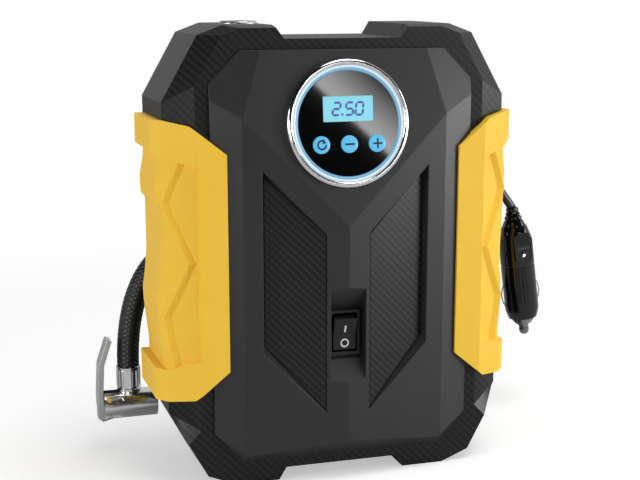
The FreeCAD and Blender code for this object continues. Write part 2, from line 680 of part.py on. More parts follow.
# ------------------------------------------------------------------ grips
def grip_outer():
    """Distance of a grip's outer side from the middle of the case."""
    return size("half_width") + size("grip_proud")


def grip_step():
    """Distance at which a grip turns from the front to the rim's slope."""
    return size("half_width") - size("bevel_width")


def grip_outer_form(side):
    """The C-shaped grip before its recess: plan outline cut to the front outline."""
    front = -size("grip_front")
    outer = grip_outer()
    inner = size("half_width") - size("grip_inner_in")
    plan = [(inner, front), (grip_step(), front + 0.4),
            (outer - 4.5, 3.4), (outer, 9), (outer, size("grip_back")), (50, size("grip_back")),
            (50, 0)]
    low = size("grip_bottom") - 5
    ring = [Vector(side * x, y, low) for x, y in plan]
    column = flat_prism(ring, Vector(0, 0, size("grip_top") - low + 5))
    bend = size("half_width") - size("grip_bend_in")
    face = [(inner, size("grip_low_in")), (inner, size("grip_high_in")),
            (bend, size("grip_high_bend")), (outer - 4.5, size("grip_top")),
            (outer + 5, size("grip_top")), (outer + 5, size("grip_bottom") - 0.6),
            (outer - 5, size("grip_bottom") - 0.6), (bend, size("grip_bottom") + 0.5)]
    ring = [Vector(side * x, front - 5, z) for x, z in face]
    return column.common(flat_prism(ring, Vector(0, size("grip_back") - front + 10, 0)))


def grip_recess(side):
    """The opening between the two arms of a grip."""
    step = grip_step()
    outer = grip_outer()
    high = size("grip_high_in")
    low = size("grip_low_in")
    face = [(step, low + 5.7), (step, high - 5), (outer - 5.7, high - 2.2),
            (outer, high + 1.3), (outer + 5, high + 1.3), (outer + 5, low + 0.8),
            (outer - 4, low + 0.8)]
    ring = [Vector(side * x, -20, z) for x, z in face]
    return flat_prism(ring, Vector(0, size("grip_back") + 40, 0))


def grip_slope(share, sink):
    """A point across and back on the grip's slanted front, sunk under its outer form."""
    start = Vector(grip_step(), 0.4 - size("grip_front"), 0)
    slope = Vector(grip_outer() - 4.5, 3.4, 0) - start
    inward = Vector(-slope.y, slope.x, 0).normalize()
    return start + slope * share + inward * sink


def grip_floor(side):
    """The recess's floor: a raised plate on the side whose front edge runs in a zigzag."""
    base = size("half_width") + size("grip_floor_proud")
    full = base + size("grip_bump")
    half = base + size("grip_bump") / 2
    high = size("grip_bump_high")
    low = size("grip_bump_low")
    meet = size("grip_meet")
    back = size("grip_back") - 0.5
    levels = [
        # height, share of the slope where the plate's edge starts, reach of the side
        (size("grip_high_in") + 6, 0.36, base), (size("grip_high_in") - 5, 0.46, base + 0.5),
        (high + 7.5, 0.73, full), (high, 0.92, full - 0.3), (high - 2.5, 0.86, base),
        (meet, 0.16, base), (low + 13.5, 0.5, half), (low + 6.5, 0.71, full),
        (low, 0.92, full - 0.3), (low - 8, 0.84, half), (size("grip_low_in") + 6, 0.68, base),
        (size("grip_low_in") - 4, 0.58, base),
    ]
    rows = []
    for z, share, reach in levels:
        foot = grip_slope(-0.06, size("grip_front_sink"))
        edge_low = grip_slope(share, size("grip_front_sink"))
        edge_high = grip_slope(share + size("grip_plate_edge"), size("grip_plate_sink"))
        turn = grip_slope(max(share + size("grip_plate_edge") + 0.03, 0.98), size("grip_plate_sink"))
        corner = Vector(max(reach, turn.x + 0.2), 9.5, 0)
        rows.append([Vector(side * point.x, point.y, z) for point in (
            foot, edge_low, edge_high, turn, corner, Vector(corner.x, back, 0))])
    return skin_solid(rows, Vector(-side * 9, 7, 0))


def skin_solid(rows, inward):
    """A solid between a grid of points and the same grid moved inwards."""
    high = len(rows)
    wide = len(rows[0])
    points = [point for row in rows for point in row]
    points += [point + inward for point in points]
    shift = high * wide
    faces = []
    for r in range(high - 1):
        for c in range(wide - 1):
            quad = (r * wide + c, r * wide + c + 1, (r + 1) * wide + c + 1, (r + 1) * wide + c)
            faces += [(quad[0], quad[1], quad[2]), (quad[0], quad[2], quad[3])]
            faces += [(quad[2] + shift, quad[1] + shift, quad[0] + shift),
                      (quad[3] + shift, quad[2] + shift, quad[0] + shift)]
    rim = [c for c in range(wide)] + [r * wide + wide - 1 for r in range(1, high)]
    rim += [(high - 1) * wide + c for c in range(wide - 2, -1, -1)]
    rim += [r * wide for r in range(high - 2, 0, -1)]
    for first, second in zip(rim, rim[1:] + rim[:1]):
        faces += [(first, first + shift, second), (second, first + shift, second + shift)]
    return faceted(points, faces)


def case_core():
    """Outer form of the closed case, which the grips wrap."""
    near = [Vector(x, 0, z) for x, z in rim_ring(True)]
    far = [Vector(x, size("bevel_depth"), z) for x, z in rim_ring(False)]
    bevel = Part.makeLoft([Part.makePolygon(near + near[:1]),
                           Part.makePolygon(far + far[:1])], True, True)
    return bevel.fuse(flat_prism(far, Vector(0, size("rear_face") - size("bevel_depth"), 0)))


def rim_ring(bevelled):
    """The side stretch of the rim's outline as numbers, closed across the middle."""
    side = size("bevel_width") if bevelled else 0
    rise = size("bevel_rise") if bevelled else 0
    low = size("bevel_end") if bevelled else size("chamfer_bottom")
    high = size("total_height") - size("chamfer_top") + rise
    half = size("half_width") - side
    return [(-half, low), (half, low), (half, high), (-half, high)]


def make_grips():
    core = case_core()
    panel = fascia_block(0, 0, 0)
    for side, label in ((-1, "grip_left"), (1, "grip_right")):
        frame = grip_outer_form(side).cut(grip_recess(side))
        floor = grip_floor(side).common(grip_outer_form(side))
        grip = frame.fuse(floor).cut(core).cut(panel).removeSplitter()
        node(label, computed(label + "_shape", grip))


# ------------------------------------------------------------------ lamp
def make_lamp():
    top = "total_height"
    ring = turned("lamp_ring", [
        ("lamp_lens_radius", "-wall"), ("lamp_radius - lamp_rim - 0.1", "-wall"),
        ("lamp_radius - lamp_rim - 0.1", "0"), ("lamp_radius", "0"), ("lamp_radius", "0.6"),
        ("lamp_radius - 0.8", "1.2"), ("lamp_lens_radius", "1.2")], ("lamp_x", "lamp_y", top))
    node("lamp_bezel", ring)
    node("lamp_lens", cylinder("lamp_window", "lamp_lens_radius - fit_gap", "1.4",
                               ("lamp_x", "lamp_y", "total_height - 0.6")))
    bowl = turned("lamp_bowl", [
        ("1.6", "-lamp_depth"), ("2.6", "-lamp_depth"), ("lamp_lens_radius - 0.1", "-wall"),
        ("lamp_lens_radius - 0.1", "-0.6"), ("lamp_lens_radius - 0.9", "-0.6"),
        ("lamp_lens_radius - 0.9", "-wall")], ("lamp_x", "lamp_y", top))
    node("lamp_reflector", bowl)
    disc = cylinder("lamp_disc", "lamp_board_radius", "lamp_board_thick",
                    ("lamp_x", "lamp_y", "total_height - lamp_depth - lamp_board_thick"))
    chip = cylinder("lamp_chip", "1.4", "1",
                    ("lamp_x", "lamp_y", "total_height - lamp_depth"))
    node("lamp_board", together("lamp_board_parts", [disc, chip]))


# ------------------------------------------------------------------ gauge
def on_gauge(made):
    """Move a piece drawn in the gauge's own frame, Z outwards, onto the fascia."""
    made.Placement = gauge_place().multiply(made.Placement)
    return made


def disc(radius, low, high, x=0.0, y=0.0):
    return Part.makeCylinder(radius, high - low, Vector(x, y, low))


def ring_shape(profile):
    """A solid of revolution about Z from (radius, height) corners."""
    points = [Vector(radius, 0, height) for radius, height in profile]
    return Part.Face(Part.makePolygon(points + points[:1])).revolve(
        Vector(0, 0, 0), Vector(0, 0, 1), 360)


def gauge_node(label, shape):
    node(label, on_gauge(computed(label + "_shape", shape)))


def key_centres():
    """The three keys, left to right, with their names."""
    pitch = size("key_pitch")
    names = ("reset", "minus", "plus")
    return [(name, (i - 1) * pitch, -size("key_drop")) for i, name in enumerate(names)]


def make_gauge():
    outer = size("bezel_outer")
    inner = size("bezel_inner")
    high = size("bezel_high")
    gauge_node("gauge_bezel", ring_shape([
        (inner, 0), (outer, 0), (outer, high - 1.2), (outer - 0.7, high - 0.3),
        (outer - 1.4, high), (inner + 0.5, high), (inner, high - 0.4)]))
    glow = size("glow_outer")
    lip = size("glow_inner")
    foot = size("glow_foot")
    can_inner = size("gauge_can_inner")
    gauge_node("gauge_light_ring", ring_shape([
        (can_inner, 0), (glow, 0), (glow, size("glow_high")), (lip, size("glow_high")),
        (lip, foot), (can_inner, foot)]))
    radius = size("key_radius") + size("key_gap")
    glass = disc(size("glass_radius"), foot, foot + size("glass_thick"))
    for _, x, y in key_centres():
        glass = glass.cut(disc(radius, -1, 5, x, y))
    gauge_node("gauge_glass", glass)
    depth = size("gauge_can_depth")
    wall = size("fascia_wall") + 0.15
    can = ring_shape([
        (0, -depth), (glow, -depth), (glow, -wall - 2), (size("gauge_flange"), -wall - 2),
        (size("gauge_flange"), -wall), (glow, -wall), (glow, 0), (can_inner, 0),
        (can_inner, size("gauge_can_floor") - depth), (0, size("gauge_can_floor") - depth)])
    spacers = [disc(1.6, -depth, -size("board_level") - size("board_thick"), x, y)
               for x, y in ((18, 0), (-18, 0), (0, 18))]
    gauge_node("gauge_housing", can.cut(disc(2.6, -depth - 1, 0)).fuse(spacers))
    make_gauge_inside()


def make_gauge_inside():
    """The display, the board with its sensor and the three keys."""
    wide = size("lcd_wide")
    tall = size("lcd_high")
    foot = size("glow_foot")
    thick = size("lcd_thick")
    gauge_node("lcd_module", Part.makeBox(
        wide, tall, thick, Vector(-wide / 2, size("lcd_z") - tall / 2, foot - thick)))
    level = -size("board_level")
    board = disc(size("board_radius"), level - size("board_thick"), level)
    side = size("sensor_side")
    sensor = Part.makeBox(side, side, size("sensor_high"),
                          Vector(-side / 2, -side / 2, level - size("board_thick")
                                 - size("sensor_high")))
    barb = disc(size("sensor_nipple"), -size("gauge_can_depth") - 4, level)
    posts = [disc(1.5, level, foot - thick, x, size("lcd_z") + y)
             for x in (-wide / 2 + 2, wide / 2 - 2) for y in (-tall / 2 + 2, tall / 2 - 2)]
    shape = board.fuse([sensor, barb] + posts)
    for _, x, y in key_centres():
        shape = shape.fuse(disc(2.2, level, level + 1.6, x, y))
    gauge_node("gauge_board", shape)
    for name, x, y in key_centres():
        cap = disc(size("key_radius"), -0.4, foot + size("glass_thick") + size("key_proud"), x, y)
        flange = disc(size("key_flange"), -0.4, foot - 0.3, x, y)
        stem = disc(size("key_stem"), level + 1.6 + size("key_travel") + 0.1, 0, x, y)
        gauge_node("button_" + name, cap.fuse([flange, stem]))


# ------------------------------------------------------------------ rocker switch
def make_switch():
    half_wide = "switch_wide / 2"
    body_wide = "switch_body_wide"
    bezel = block("switch_bezel", ("switch_wide", "switch_face - pocket_floor", "switch_tall"),
                  (f"-{half_wide}", "-switch_face", "switch_z - switch_tall / 2"))
    box = block("switch_box", (body_wide, "switch_body_deep", "switch_body_tall"),
                (f"-{body_wide} / 2", "-pocket_floor", "switch_z - switch_body_tall / 2"))
    room = "(rocker_wide / 2 + rocker_gap)"
    tall = "(rocker_reach + rocker_gap)"
    cavity = block("switch_room", (f"{room} * 2", "switch_face + 7", f"{tall} * 2"),
                   (f"-{room}", "-switch_face - 1", f"switch_z - {tall}"))
    slots = [block(f"blade_slot{i}", ("blade_wide", "switch_body_deep", "blade_thick"),
                   ("-blade_wide / 2", "6", f"switch_z + ({i} - 1) * blade_pitch - blade_thick / 2"))
             for i in range(3)]
    node("switch_housing", cut("switch_shell", together("switch_solid", [bezel, box]),
                               cavity, *slots))
    blades = [block(f"blade{i}", ("blade_wide", "switch_body_deep - 6 + blade_long", "blade_thick"),
                    ("-blade_wide / 2", "6",
                     f"switch_z + ({i} - 1) * blade_pitch - blade_thick / 2"))
              for i in range(3)]
    node("switch_terminals", group("blade_set", blades))
    reach = "rocker_reach"
    half = [("-rocker_sink", "0"), ("-rocker_sink - 1.33", f"{reach} * 0.86"),
            ("-1.5", f"{reach} * 0.983"), ("1.5", f"{reach} * 0.983"),
            ("rocker_deep", "rocker_deep * 0.8")]
    corners = half + [(y, f"-({z})") for y, z in half[:0:-1]]
    rocker = prism("rocker", "YZ_Plane", corners, "rocker_wide", midplane=True)
    put(rocker, ("0", "rocker_sink - switch_face", "switch_z"),
        Rotation(Vector(1, 0, 0), size("rocker_tilt")))
    node("switch_rocker", rocker)


# ------------------------------------------------------------------ motor and gearing
def gear_profile(teeth, depth_gap=0.25):
    """The outline of a spur gear with straight-flanked teeth, one tooth on +X."""
    module = size("gear_module")
    pitch_radius = module * teeth / 2
    tip = pitch_radius + module * 0.8
    root = pitch_radius - module * (0.8 + depth_gap)
    step = math.tau / teeth
    corners = []
    for i in range(teeth):
        for radius, share in ((root, -0.36), (tip, -0.13), (tip, 0.13), (root, 0.36)):
            angle = step * (i + share)
            corners.append(Vector(radius * math.cos(angle), radius * math.sin(angle), 0))
    return corners


def wheel_x():
    """The crank wheel's axis, one centre distance from the motor's."""
    module = size("gear_module")
    return size("motor_x") + module * (size("pinion_teeth") + size("wheel_teeth")) / 2


def make_motor():
    top = "plate_z"
    can = turned("can_wall", [
        ("motor_radius - motor_wall", "0"), ("motor_radius", "0"),
        ("motor_radius", f"{top} - motor_low"), ("shaft_radius + fit_gap", f"{top} - motor_low"),
        ("shaft_radius + fit_gap", f"{top} - motor_low - motor_wall * 2"),
        ("motor_radius - motor_wall", f"{top} - motor_low - motor_wall * 2")],
        ("motor_x", "pump_y", "motor_low"))
    bore = "motor_radius - motor_wall - fit_gap"
    cap = turned("cap_ring", [
        ("shaft_radius + fit_gap", "-cap_thick"), ("motor_radius", "-cap_thick"),
        ("motor_radius", "0"), (bore, "0"), (bore, "3"), (f"{bore} - 1.5", "3"),
        (f"{bore} - 1.5", "0"), ("shaft_radius + fit_gap", "0")],
        ("motor_x", "pump_y", "motor_low"))
    tabs = [block(f"motor_tab{i}", ("0.8", "4.8", "5"),
                  (f"motor_x + {offset}", "pump_y - 2.4", "motor_low - cap_thick - 2"))
            for i, offset in enumerate(("-15.8", "15"))]
    node("motor_end_cap", together("cap_with_tabs", [cap] + tabs))
    inside = "motor_radius - motor_wall"
    magnet = turned("magnet_ring", [
        ("magnet_inner", "armature_low"), (inside, "armature_low"), (inside, "armature_high"),
        ("magnet_inner", "armature_high")], ("motor_x", "pump_y", "0"))
    gaps = block("magnet_gap", ("motor_radius * 2", "7", "armature_high"),
                 ("motor_x - motor_radius", "pump_y - 3.5", "armature_low - 1"))
    pair = cut("magnet_pair", magnet, gaps)
    node("motor_can", together("can_with_magnets", [can, pair]))
    shaft = cylinder("shaft", "shaft_radius", "gear_low + gear_thick - shaft_low + 0.5",
                     ("motor_x", "pump_y", "shaft_low"))
    core = cylinder("armature", "armature_radius", "armature_high - armature_low",
                    ("motor_x", "pump_y", "armature_low"))
    brushes = cylinder("commutator", "armature_radius / 2", "armature_low - motor_low - 0.5",
                       ("motor_x", "pump_y", "motor_low + 0.5"))
    node("motor_rotor", together("rotor_parts", [shaft, core, brushes]))
    make_fan_and_pinion()


def make_fan_and_pinion():
    hub = cylinder("fan_hub_round", "fan_hub", "fan_high - fan_low",
                   ("motor_x", "pump_y", "fan_low"))
    blades = []
    for i in range(6):
        blade = block(f"fan_blade{i}", ("fan_radius - 2", "1.2", "fan_high - fan_low"),
                      ("motor_x", "pump_y", "fan_low"),
                      Rotation(Vector(0, 0, 1), 60 * i))
        blades.append(blade)
    bore = cylinder("fan_bore", "shaft_radius", "40", ("motor_x", "pump_y", "0"))
    node("fan", cut("fan_round", together("fan_solid", [hub] + blades), bore))
    pinion = flat_prism(gear_profile(int(size("pinion_teeth"))),
                        Vector(0, 0, size("gear_thick")))
    pinion = pinion.cut(Part.makeCylinder(size("shaft_radius"), size("gear_thick")))
    pinion.translate(Vector(size("motor_x"), size("pump_y"), size("gear_low")))
    node("pinion", computed("pinion_teeth_shape", pinion))


def make_crank_wheel():
    """The wheel, its journal, its crank pin and the counterweight, as one piece."""
    teeth = int(size("wheel_teeth"))
    wheel = flat_prism(gear_profile(teeth), Vector(0, 0, size("gear_thick")))
    wheel.rotate(Vector(), Vector(0, 0, 1), 180 / teeth)
    journal = Part.makeCylinder(size("journal_radius"), size("gear_low") - size("plate_z")
                                + size("bearing_high"),
                                Vector(0, 0, size("plate_z") - size("bearing_high")
                                       - size("gear_low")))
    pin_base = size("gear_thick")
    pin = Part.makeCylinder(size("crankpin_radius"), size("crankpin_top") - size("gear_low")
                            - pin_base, Vector(size("crank_radius"), 0, pin_base))
    weight = Part.makeCylinder(size("weight_radius"), size("weight_thick"),
                               Vector(0, 0, pin_base), Vector(0, 0, 1), 180)
    weight.rotate(Vector(), Vector(0, 0, 1), 90)
    eye = Part.makeCylinder(5, size("weight_thick"), Vector(0, 0, pin_base))
    shape = wheel.fuse([journal, pin, weight, eye])
    shape.translate(Vector(wheel_x(), size("pump_y"), size("gear_low")))
    node("crank_wheel", computed("crank_wheel_shape", shape))
    bearing = Part.makeCylinder(size("bearing_outer"), size("bearing_high"))
    bearing = bearing.cut(Part.makeCylinder(size("journal_radius") + size("fit_gap"), 20))
    bearing.translate(Vector(wheel_x(), size("pump_y"), size("plate_z") - size("bearing_high")))
    node("crank_bearing", computed("bearing_ring", bearing))


def left_tab():
    """Left edge of the pump frame's left tab, beside the motor."""
    return size("motor_x") - size("motor_radius") - size("left_tab_gap")


def make_pump_frame():
    """The cast plate that joins motor, bearing and cylinder, with its two screw tabs."""
    left = size("motor_x") - size("motor_radius")
    deep = size("motor_radius") * 2
    y = size("pump_y")
    base = size("plate_z")
    thick = size("plate_thick")
    riser_x = size("riser_x")
    axis = size("rod_low") + size("rod_thick") / 2
    plate = Part.makeBox(riser_x - left, deep, thick, Vector(left, y - deep / 2, base))
    riser = Part.makeBox(size("riser_thick"), deep, axis + size("fin_radius") - base,
                         Vector(riser_x, y - deep / 2, base))
    boss = Part.makeCylinder(size("bearing_boss"), size("bearing_high") + 1,
                             Vector(wheel_x(), y, base - size("bearing_high") - 1))
    tabs = []
    for tab_x in (left_tab(), size("right_tab_x")):
        tabs.append(Part.makeBox(size("tab_wide"), size("tab_thick"), size("tab_high"),
                                 Vector(tab_x, y - size("tab_thick"), base - size("tab_high"))))
    bridge = Part.makeBox(left - left_tab(), 10, thick, Vector(left_tab(), y - 6, base))
    foot = Part.makeBox(size("tab_wide"), size("tab_thick"), thick,
                        Vector(left_tab(), y - size("tab_thick"), base))
    frame = plate.fuse([riser, boss, bridge, foot] + tabs)
    frame = frame.cut(Part.makeCylinder(size("bore_radius") + 0.3, 20,
                                        Vector(riser_x - 2, y, axis), Vector(1, 0, 0)))
    frame = frame.cut(Part.makeCylinder(size("bearing_outer"), size("bearing_high"),
                                        Vector(wheel_x(), y, base - size("bearing_high"))))
    frame = frame.cut(Part.makeCylinder(size("journal_radius") + 1, 30,
                                        Vector(wheel_x(), y, base - 10)))
    frame = frame.cut(Part.makeCylinder(size("pinion_teeth") * size("gear_module") / 2 + 2, 20,
                                        Vector(size("motor_x"), y, base - 5)))
    for tab_x in (left_tab(), size("right_tab_x")):
        frame = frame.cut(Part.makeCylinder(
            size("shank_radius") + size("shank_gap"), 20,
            Vector(tab_x + size("tab_wide") / 2, y - 10, base - size("tab_high") / 2),
            Vector(0, 1, 0)))
    node("pump_frame", computed("pump_frame_cast", frame))


def make_pump_screws():
    screws = []
    for i, x in enumerate((LEFT_TAB, "right_tab_x")):
        at_x = f"{x} + tab_wide / 2"
        level = "plate_z - tab_high / 2"
        shank = cylinder(f"pump_shank{i}", "shank_radius", "14",
                         (at_x, "pump_y - tab_thick", level), TO_BACK)
        head = cylinder(f"pump_head{i}", "head_radius", "head_high",
                        (at_x, "pump_y - tab_thick - head_high", level), TO_BACK)
        screws.append(together(f"pump_screw{i}", [shank, head]))
    return screws


def make_piston():
    """The rod with its big end, the piston's disc and the cup seal on it."""
    y = size("pump_y")
    low = size("rod_low")
    thick = size("rod_thick")
    pin_x = wheel_x() + size("crank_radius")
    crown_x = pin_x + size("rod_length")
    axis = low + thick / 2
    base_x = crown_x - size("piston_thick")
    big_end = Part.makeCylinder(size("big_end_radius"), thick, Vector(pin_x, y, low))
    arm = Part.makeBox(base_x - pin_x, 2 * size("rod_half"), thick,
                       Vector(pin_x, y - size("rod_half"), low))
    eye = Part.makeCylinder(size("crankpin_radius") + 0.2, thick, Vector(pin_x, y, low))
    disc_shape = Part.makeCylinder(size("piston_radius"), size("piston_thick"),
                                   Vector(base_x, y, axis), Vector(1, 0, 0))
    groove_x = base_x + (size("piston_thick") - size("cup_thick")) / 2
    cup = Part.makeCylinder(size("cup_radius"), size("cup_thick"),
                            Vector(groove_x, y, axis), Vector(1, 0, 0))
    cup = cup.cut(Part.makeCylinder(size("piston_radius") - 1.5, size("cup_thick"),
                                    Vector(groove_x, y, axis), Vector(1, 0, 0)))
    node("piston_rod", computed("piston_solid", big_end.fuse([arm, disc_shape]).cut(eye).cut(cup)))
    node("piston_cup", computed("cup_ring", cup))


def make_cylinder():
    """The finned cylinder, its valve plate and the head with two air ports."""
    start = "riser_x + riser_thick"
    axis = "rod_low + rod_thick / 2"
    length = f"cylinder_end - ({start})"
    tube = cylinder("cylinder_wall", "cylinder_outer", length, (start, "pump_y", axis), TO_RIGHT)
    fins = [cylinder(f"fin{i}", "fin_radius", "fin_thick",
                     (f"{start} + {i} * 4", "pump_y", axis), TO_RIGHT) for i in range(5)]
    bore = cylinder("cylinder_bore", "bore_radius", "40", ("riser_x", "pump_y", axis), TO_RIGHT)
    node("cylinder", cut("cylinder_round", together("cylinder_solid", [tube] + fins), bore))
    plate = cylinder("valve_disc", "cylinder_outer", "valve_thick",
                     ("cylinder_end", "pump_y", axis), TO_RIGHT)
    ports = [cylinder(f"valve_port{i}", "1.2", "10", ("cylinder_end - 2", "pump_y",
                                                     f"{axis} + {offset}"), TO_RIGHT)
             for i, offset in enumerate(("-5", "5"))]
    node("valve_plate", cut("valve_round", plate, *ports))
    cap_x = "cylinder_end + valve_thick"
    cap = cylinder("head_cap", "cylinder_outer + 1", "head_length",
                   (cap_x, "pump_y", axis), TO_RIGHT)
    low_port = cylinder("low_port", "port_radius", "port_long + 1",
                        (f"{cap_x} + head_length / 2", "pump_y",
                         f"{axis} - cylinder_outer - port_long - 1"))
    high_port = cylinder("high_port", "port_radius - 0.4", "port_long + 1",
                         (f"{cap_x} + head_length / 2", "pump_y", f"{axis} + cylinder_outer"))
    room = cylinder("head_room", "bore_radius - 3", "head_length - 3",
                    (cap_x, "pump_y", axis), TO_RIGHT)
    node("cylinder_head", cut("head_solid", together("head_parts", [cap, low_port, high_port]),
                              room))


def make_sleeves():
    """Rubber sleeves between the pump and the two saddles of the rear shell."""
    level = "rod_low + rod_thick / 2"
    outer = "motor_radius + sleeve_thick"
    sleeve = cylinder("motor_sleeve_ring", outer, "sleeve_wide",
                      ("motor_x", "pump_y", "saddle_low"))
    round_motor = cut("motor_sleeve_round", sleeve,
                      cylinder("motor_sleeve_bore", "motor_radius", "20",
                               ("motor_x", "pump_y", "saddle_low - 5")))
    outer = "fin_radius + sleeve_thick"
    sleeve = cylinder("head_sleeve_ring", outer, "sleeve_wide",
                      ("saddle_x - sleeve_wide / 2 + 1.5", "pump_y", level), TO_RIGHT)
    round_cylinder = cut("head_sleeve_round", sleeve,
                         cylinder("head_sleeve_bore", "fin_radius", "30",
                                  ("saddle_x - 15", "pump_y", level), TO_RIGHT))
    node("pump_sleeves", group("pump_sleeve_pair", [round_motor, round_cylinder]))


# ------------------------------------------------------------------ air line
def make_air_line():
    node("air_tube", computed("air_tube_run", routed_tube(AIR_TUBE_ROUTE, TUBE_RADIUS)))
    node("sensor_tube", computed("sensor_tube_run",
                                 routed_tube(SENSOR_TUBE_ROUTE, SENSOR_TUBE_RADIUS)))
    face = "rear_face"
    body = block("outlet_block", ("outlet_wide", "hose_back + outlet_half", "outlet_half * 2"),
                 ("outlet_x", face, "outlet_z - outlet_half"))
    collar = cylinder("outlet_collar_round", "hose_radius + 1.2", "outlet_collar",
                      ("outlet_x + outlet_wide", f"{face} + hose_back", "outlet_z"), TO_RIGHT)
    nipple = cylinder("outlet_nipple", "port_radius", "nipple_reach + 0.5",
                      ("outlet_x + 8", f"{face} - nipple_reach", "outlet_z"), TO_BACK)
    node("hose_outlet", together("outlet_solid", [body, collar, nipple]))


def make_hose():
    depth = size("rear_face") + size("hose_back")
    route = [(x, depth, z) for x, z in HOSE_ROUTE]
    node("air_hose", computed("air_hose_run", routed_tube(route, size("hose_radius"), "air_hose")))
    node("back_clips", group("back_clip_set", [hose_clips_shape(route), make_cord_clip()]))


def hose_clips_shape(route):
    """Two snap clips on the back that the hose lies in."""
    wall = size("hose_clip_wall")
    radius = size("hose_radius") + size("hose_clip_gap")
    clips = []
    for first, share in ((3, 0.5), (6, 0.52)):
        start, end = Vector(*route[first]), Vector(*route[first + 1])
        centre = start + (end - start) * share
        heading = (end - start).normalize()
        wide = size("clip_wide")
        foot = centre - heading * (wide / 2)
        ring = Part.makeCylinder(radius + wall, wide, foot, heading)
        back = Part.makeBox(2 * (radius + wall), wide, size("hose_back"),
                            Vector(-radius - wall, -wide / 2, -size("hose_back")))
        side = heading.cross(Vector(0, 1, 0))
        matrix = FreeCAD.Matrix(side.x, heading.x, 0, centre.x, side.y, heading.y, 1, centre.y,
                                side.z, heading.z, 0, centre.z, 0, 0, 0, 1)
        back = back.transformGeometry(matrix)
        mouth = Part.makeBox(1.5 * radius, 2 * wide, 20, Vector(-0.75 * radius, -wide, 0))
        mouth = mouth.transformGeometry(matrix)
        bore = Part.makeCylinder(radius, wide * 2, centre - heading * wide, heading)
        reach = Part.makeBox(400, 60, 400, Vector(-200, size("rear_face") - 60, -100))
        clips.append(ring.fuse(back).cut(bore).cut(mouth).cut(reach))
    return computed("hose_clip_pair", Part.makeCompound(clips))


def make_chuck():
    """The ferrule, the lever chuck's body with its fork, the seal, the pin and the lever."""
    hose_x, hose_z = HOSE_ROUTE[-1]
    depth = "rear_face + hose_back"
    ferrule = cylinder("ferrule_sleeve", "ferrule_radius", "ferrule_long",
                       (str(hose_x), depth, f"{hose_z} - ferrule_long"))
    node("hose_ferrule", ferrule)
    barrel = cylinder("chuck_barrel", "chuck_radius", "chuck_right - chuck_left",
                      ("chuck_left", depth, "chuck_z"), TO_RIGHT)
    saddle = cylinder("chuck_neck", "ferrule_radius - 1", "chuck_radius",
                      (str(hose_x), depth, f"{hose_z} - ferrule_long - chuck_radius"))
    fork = block("chuck_fork", ("fork_deep + 1", "fork_wide", "chuck_radius * 2 + 2"),
                 ("chuck_left - 1", f"{depth} - fork_wide / 2", "chuck_z - chuck_radius - 1"))
    mouth = cylinder("chuck_mouth", "valve_hole", "valve_deep + 1",
                     ("chuck_right - valve_deep", depth, "chuck_z"), TO_RIGHT)
    seat = cylinder("chuck_seal_seat", "seal_radius", "seal_thick + 1",
                    ("chuck_right - valve_deep - seal_thick", depth, "chuck_z"), TO_RIGHT)
    pin_hole = cylinder("chuck_pin_hole", "lever_pin_radius", "40",
                        ("lever_pin_x", f"{depth} - 20", "lever_pin_z"), TO_BACK)
    node("chuck_body", cut("chuck_solid", together("chuck_round", [barrel, saddle]),
                           fork, mouth, seat, pin_hole))
    seat_x = "chuck_right - valve_deep - seal_thick"
    seal = cylinder("seal_round", "seal_radius - 0.02", "seal_thick",
                    (seat_x, depth, "chuck_z"), TO_RIGHT)
    seal_hole = cylinder("seal_hole", "seal_radius / 2", "seal_thick + 2",
                         (f"{seat_x} - 1", depth, "chuck_z"), TO_RIGHT)
    node("chuck_seal", cut("seal_ring", seal, seal_hole))
    node("lever_pin", cylinder("lever_pin_rod", "lever_pin_radius", "chuck_radius * 2 - 3.4",
                               ("lever_pin_x", f"{depth} - chuck_radius + 1.7", "lever_pin_z"),
                               TO_BACK))
    make_lever(depth)


def make_lever(depth):
    """A bent strip: a narrow eye in the fork, a wide blade and a thumb pad."""
    neck = prism("lever_neck_strip", "XZ_Plane", [
        ("3", "-1.6"), ("3", "1.6"), ("1.4", "3"), ("-1.6", "3.6"), ("-3.4", "6"), ("-5.8", "6"),
        ("-5.9", "-2.4"), ("-3.6", "-4.4"), ("1.4", "-3")],
        "lever_neck", midplane=True)
    blade = prism("lever_blade", "XZ_Plane", [
        ("-3.4", "3.6"), ("-3.4", "10"), ("-2.6", "lever_high - 12"), ("1.4", "lever_high"),
        ("-0.9", "lever_high + 0.6"), ("-5", "lever_high - 11.4"), ("-5.9", "10"), ("-5.9", "3.6")],
        "lever_wide", midplane=True)
    eye = cylinder("lever_eye", "lever_pin_radius + fit_gap", "20", ("0", "-10", "0"), TO_BACK)
    lever = cut("lever_solid", together("lever_parts", [neck, blade]), eye)
    put(lever, ("lever_pin_x", depth, "lever_pin_z"))
    node("chuck_lever", lever)


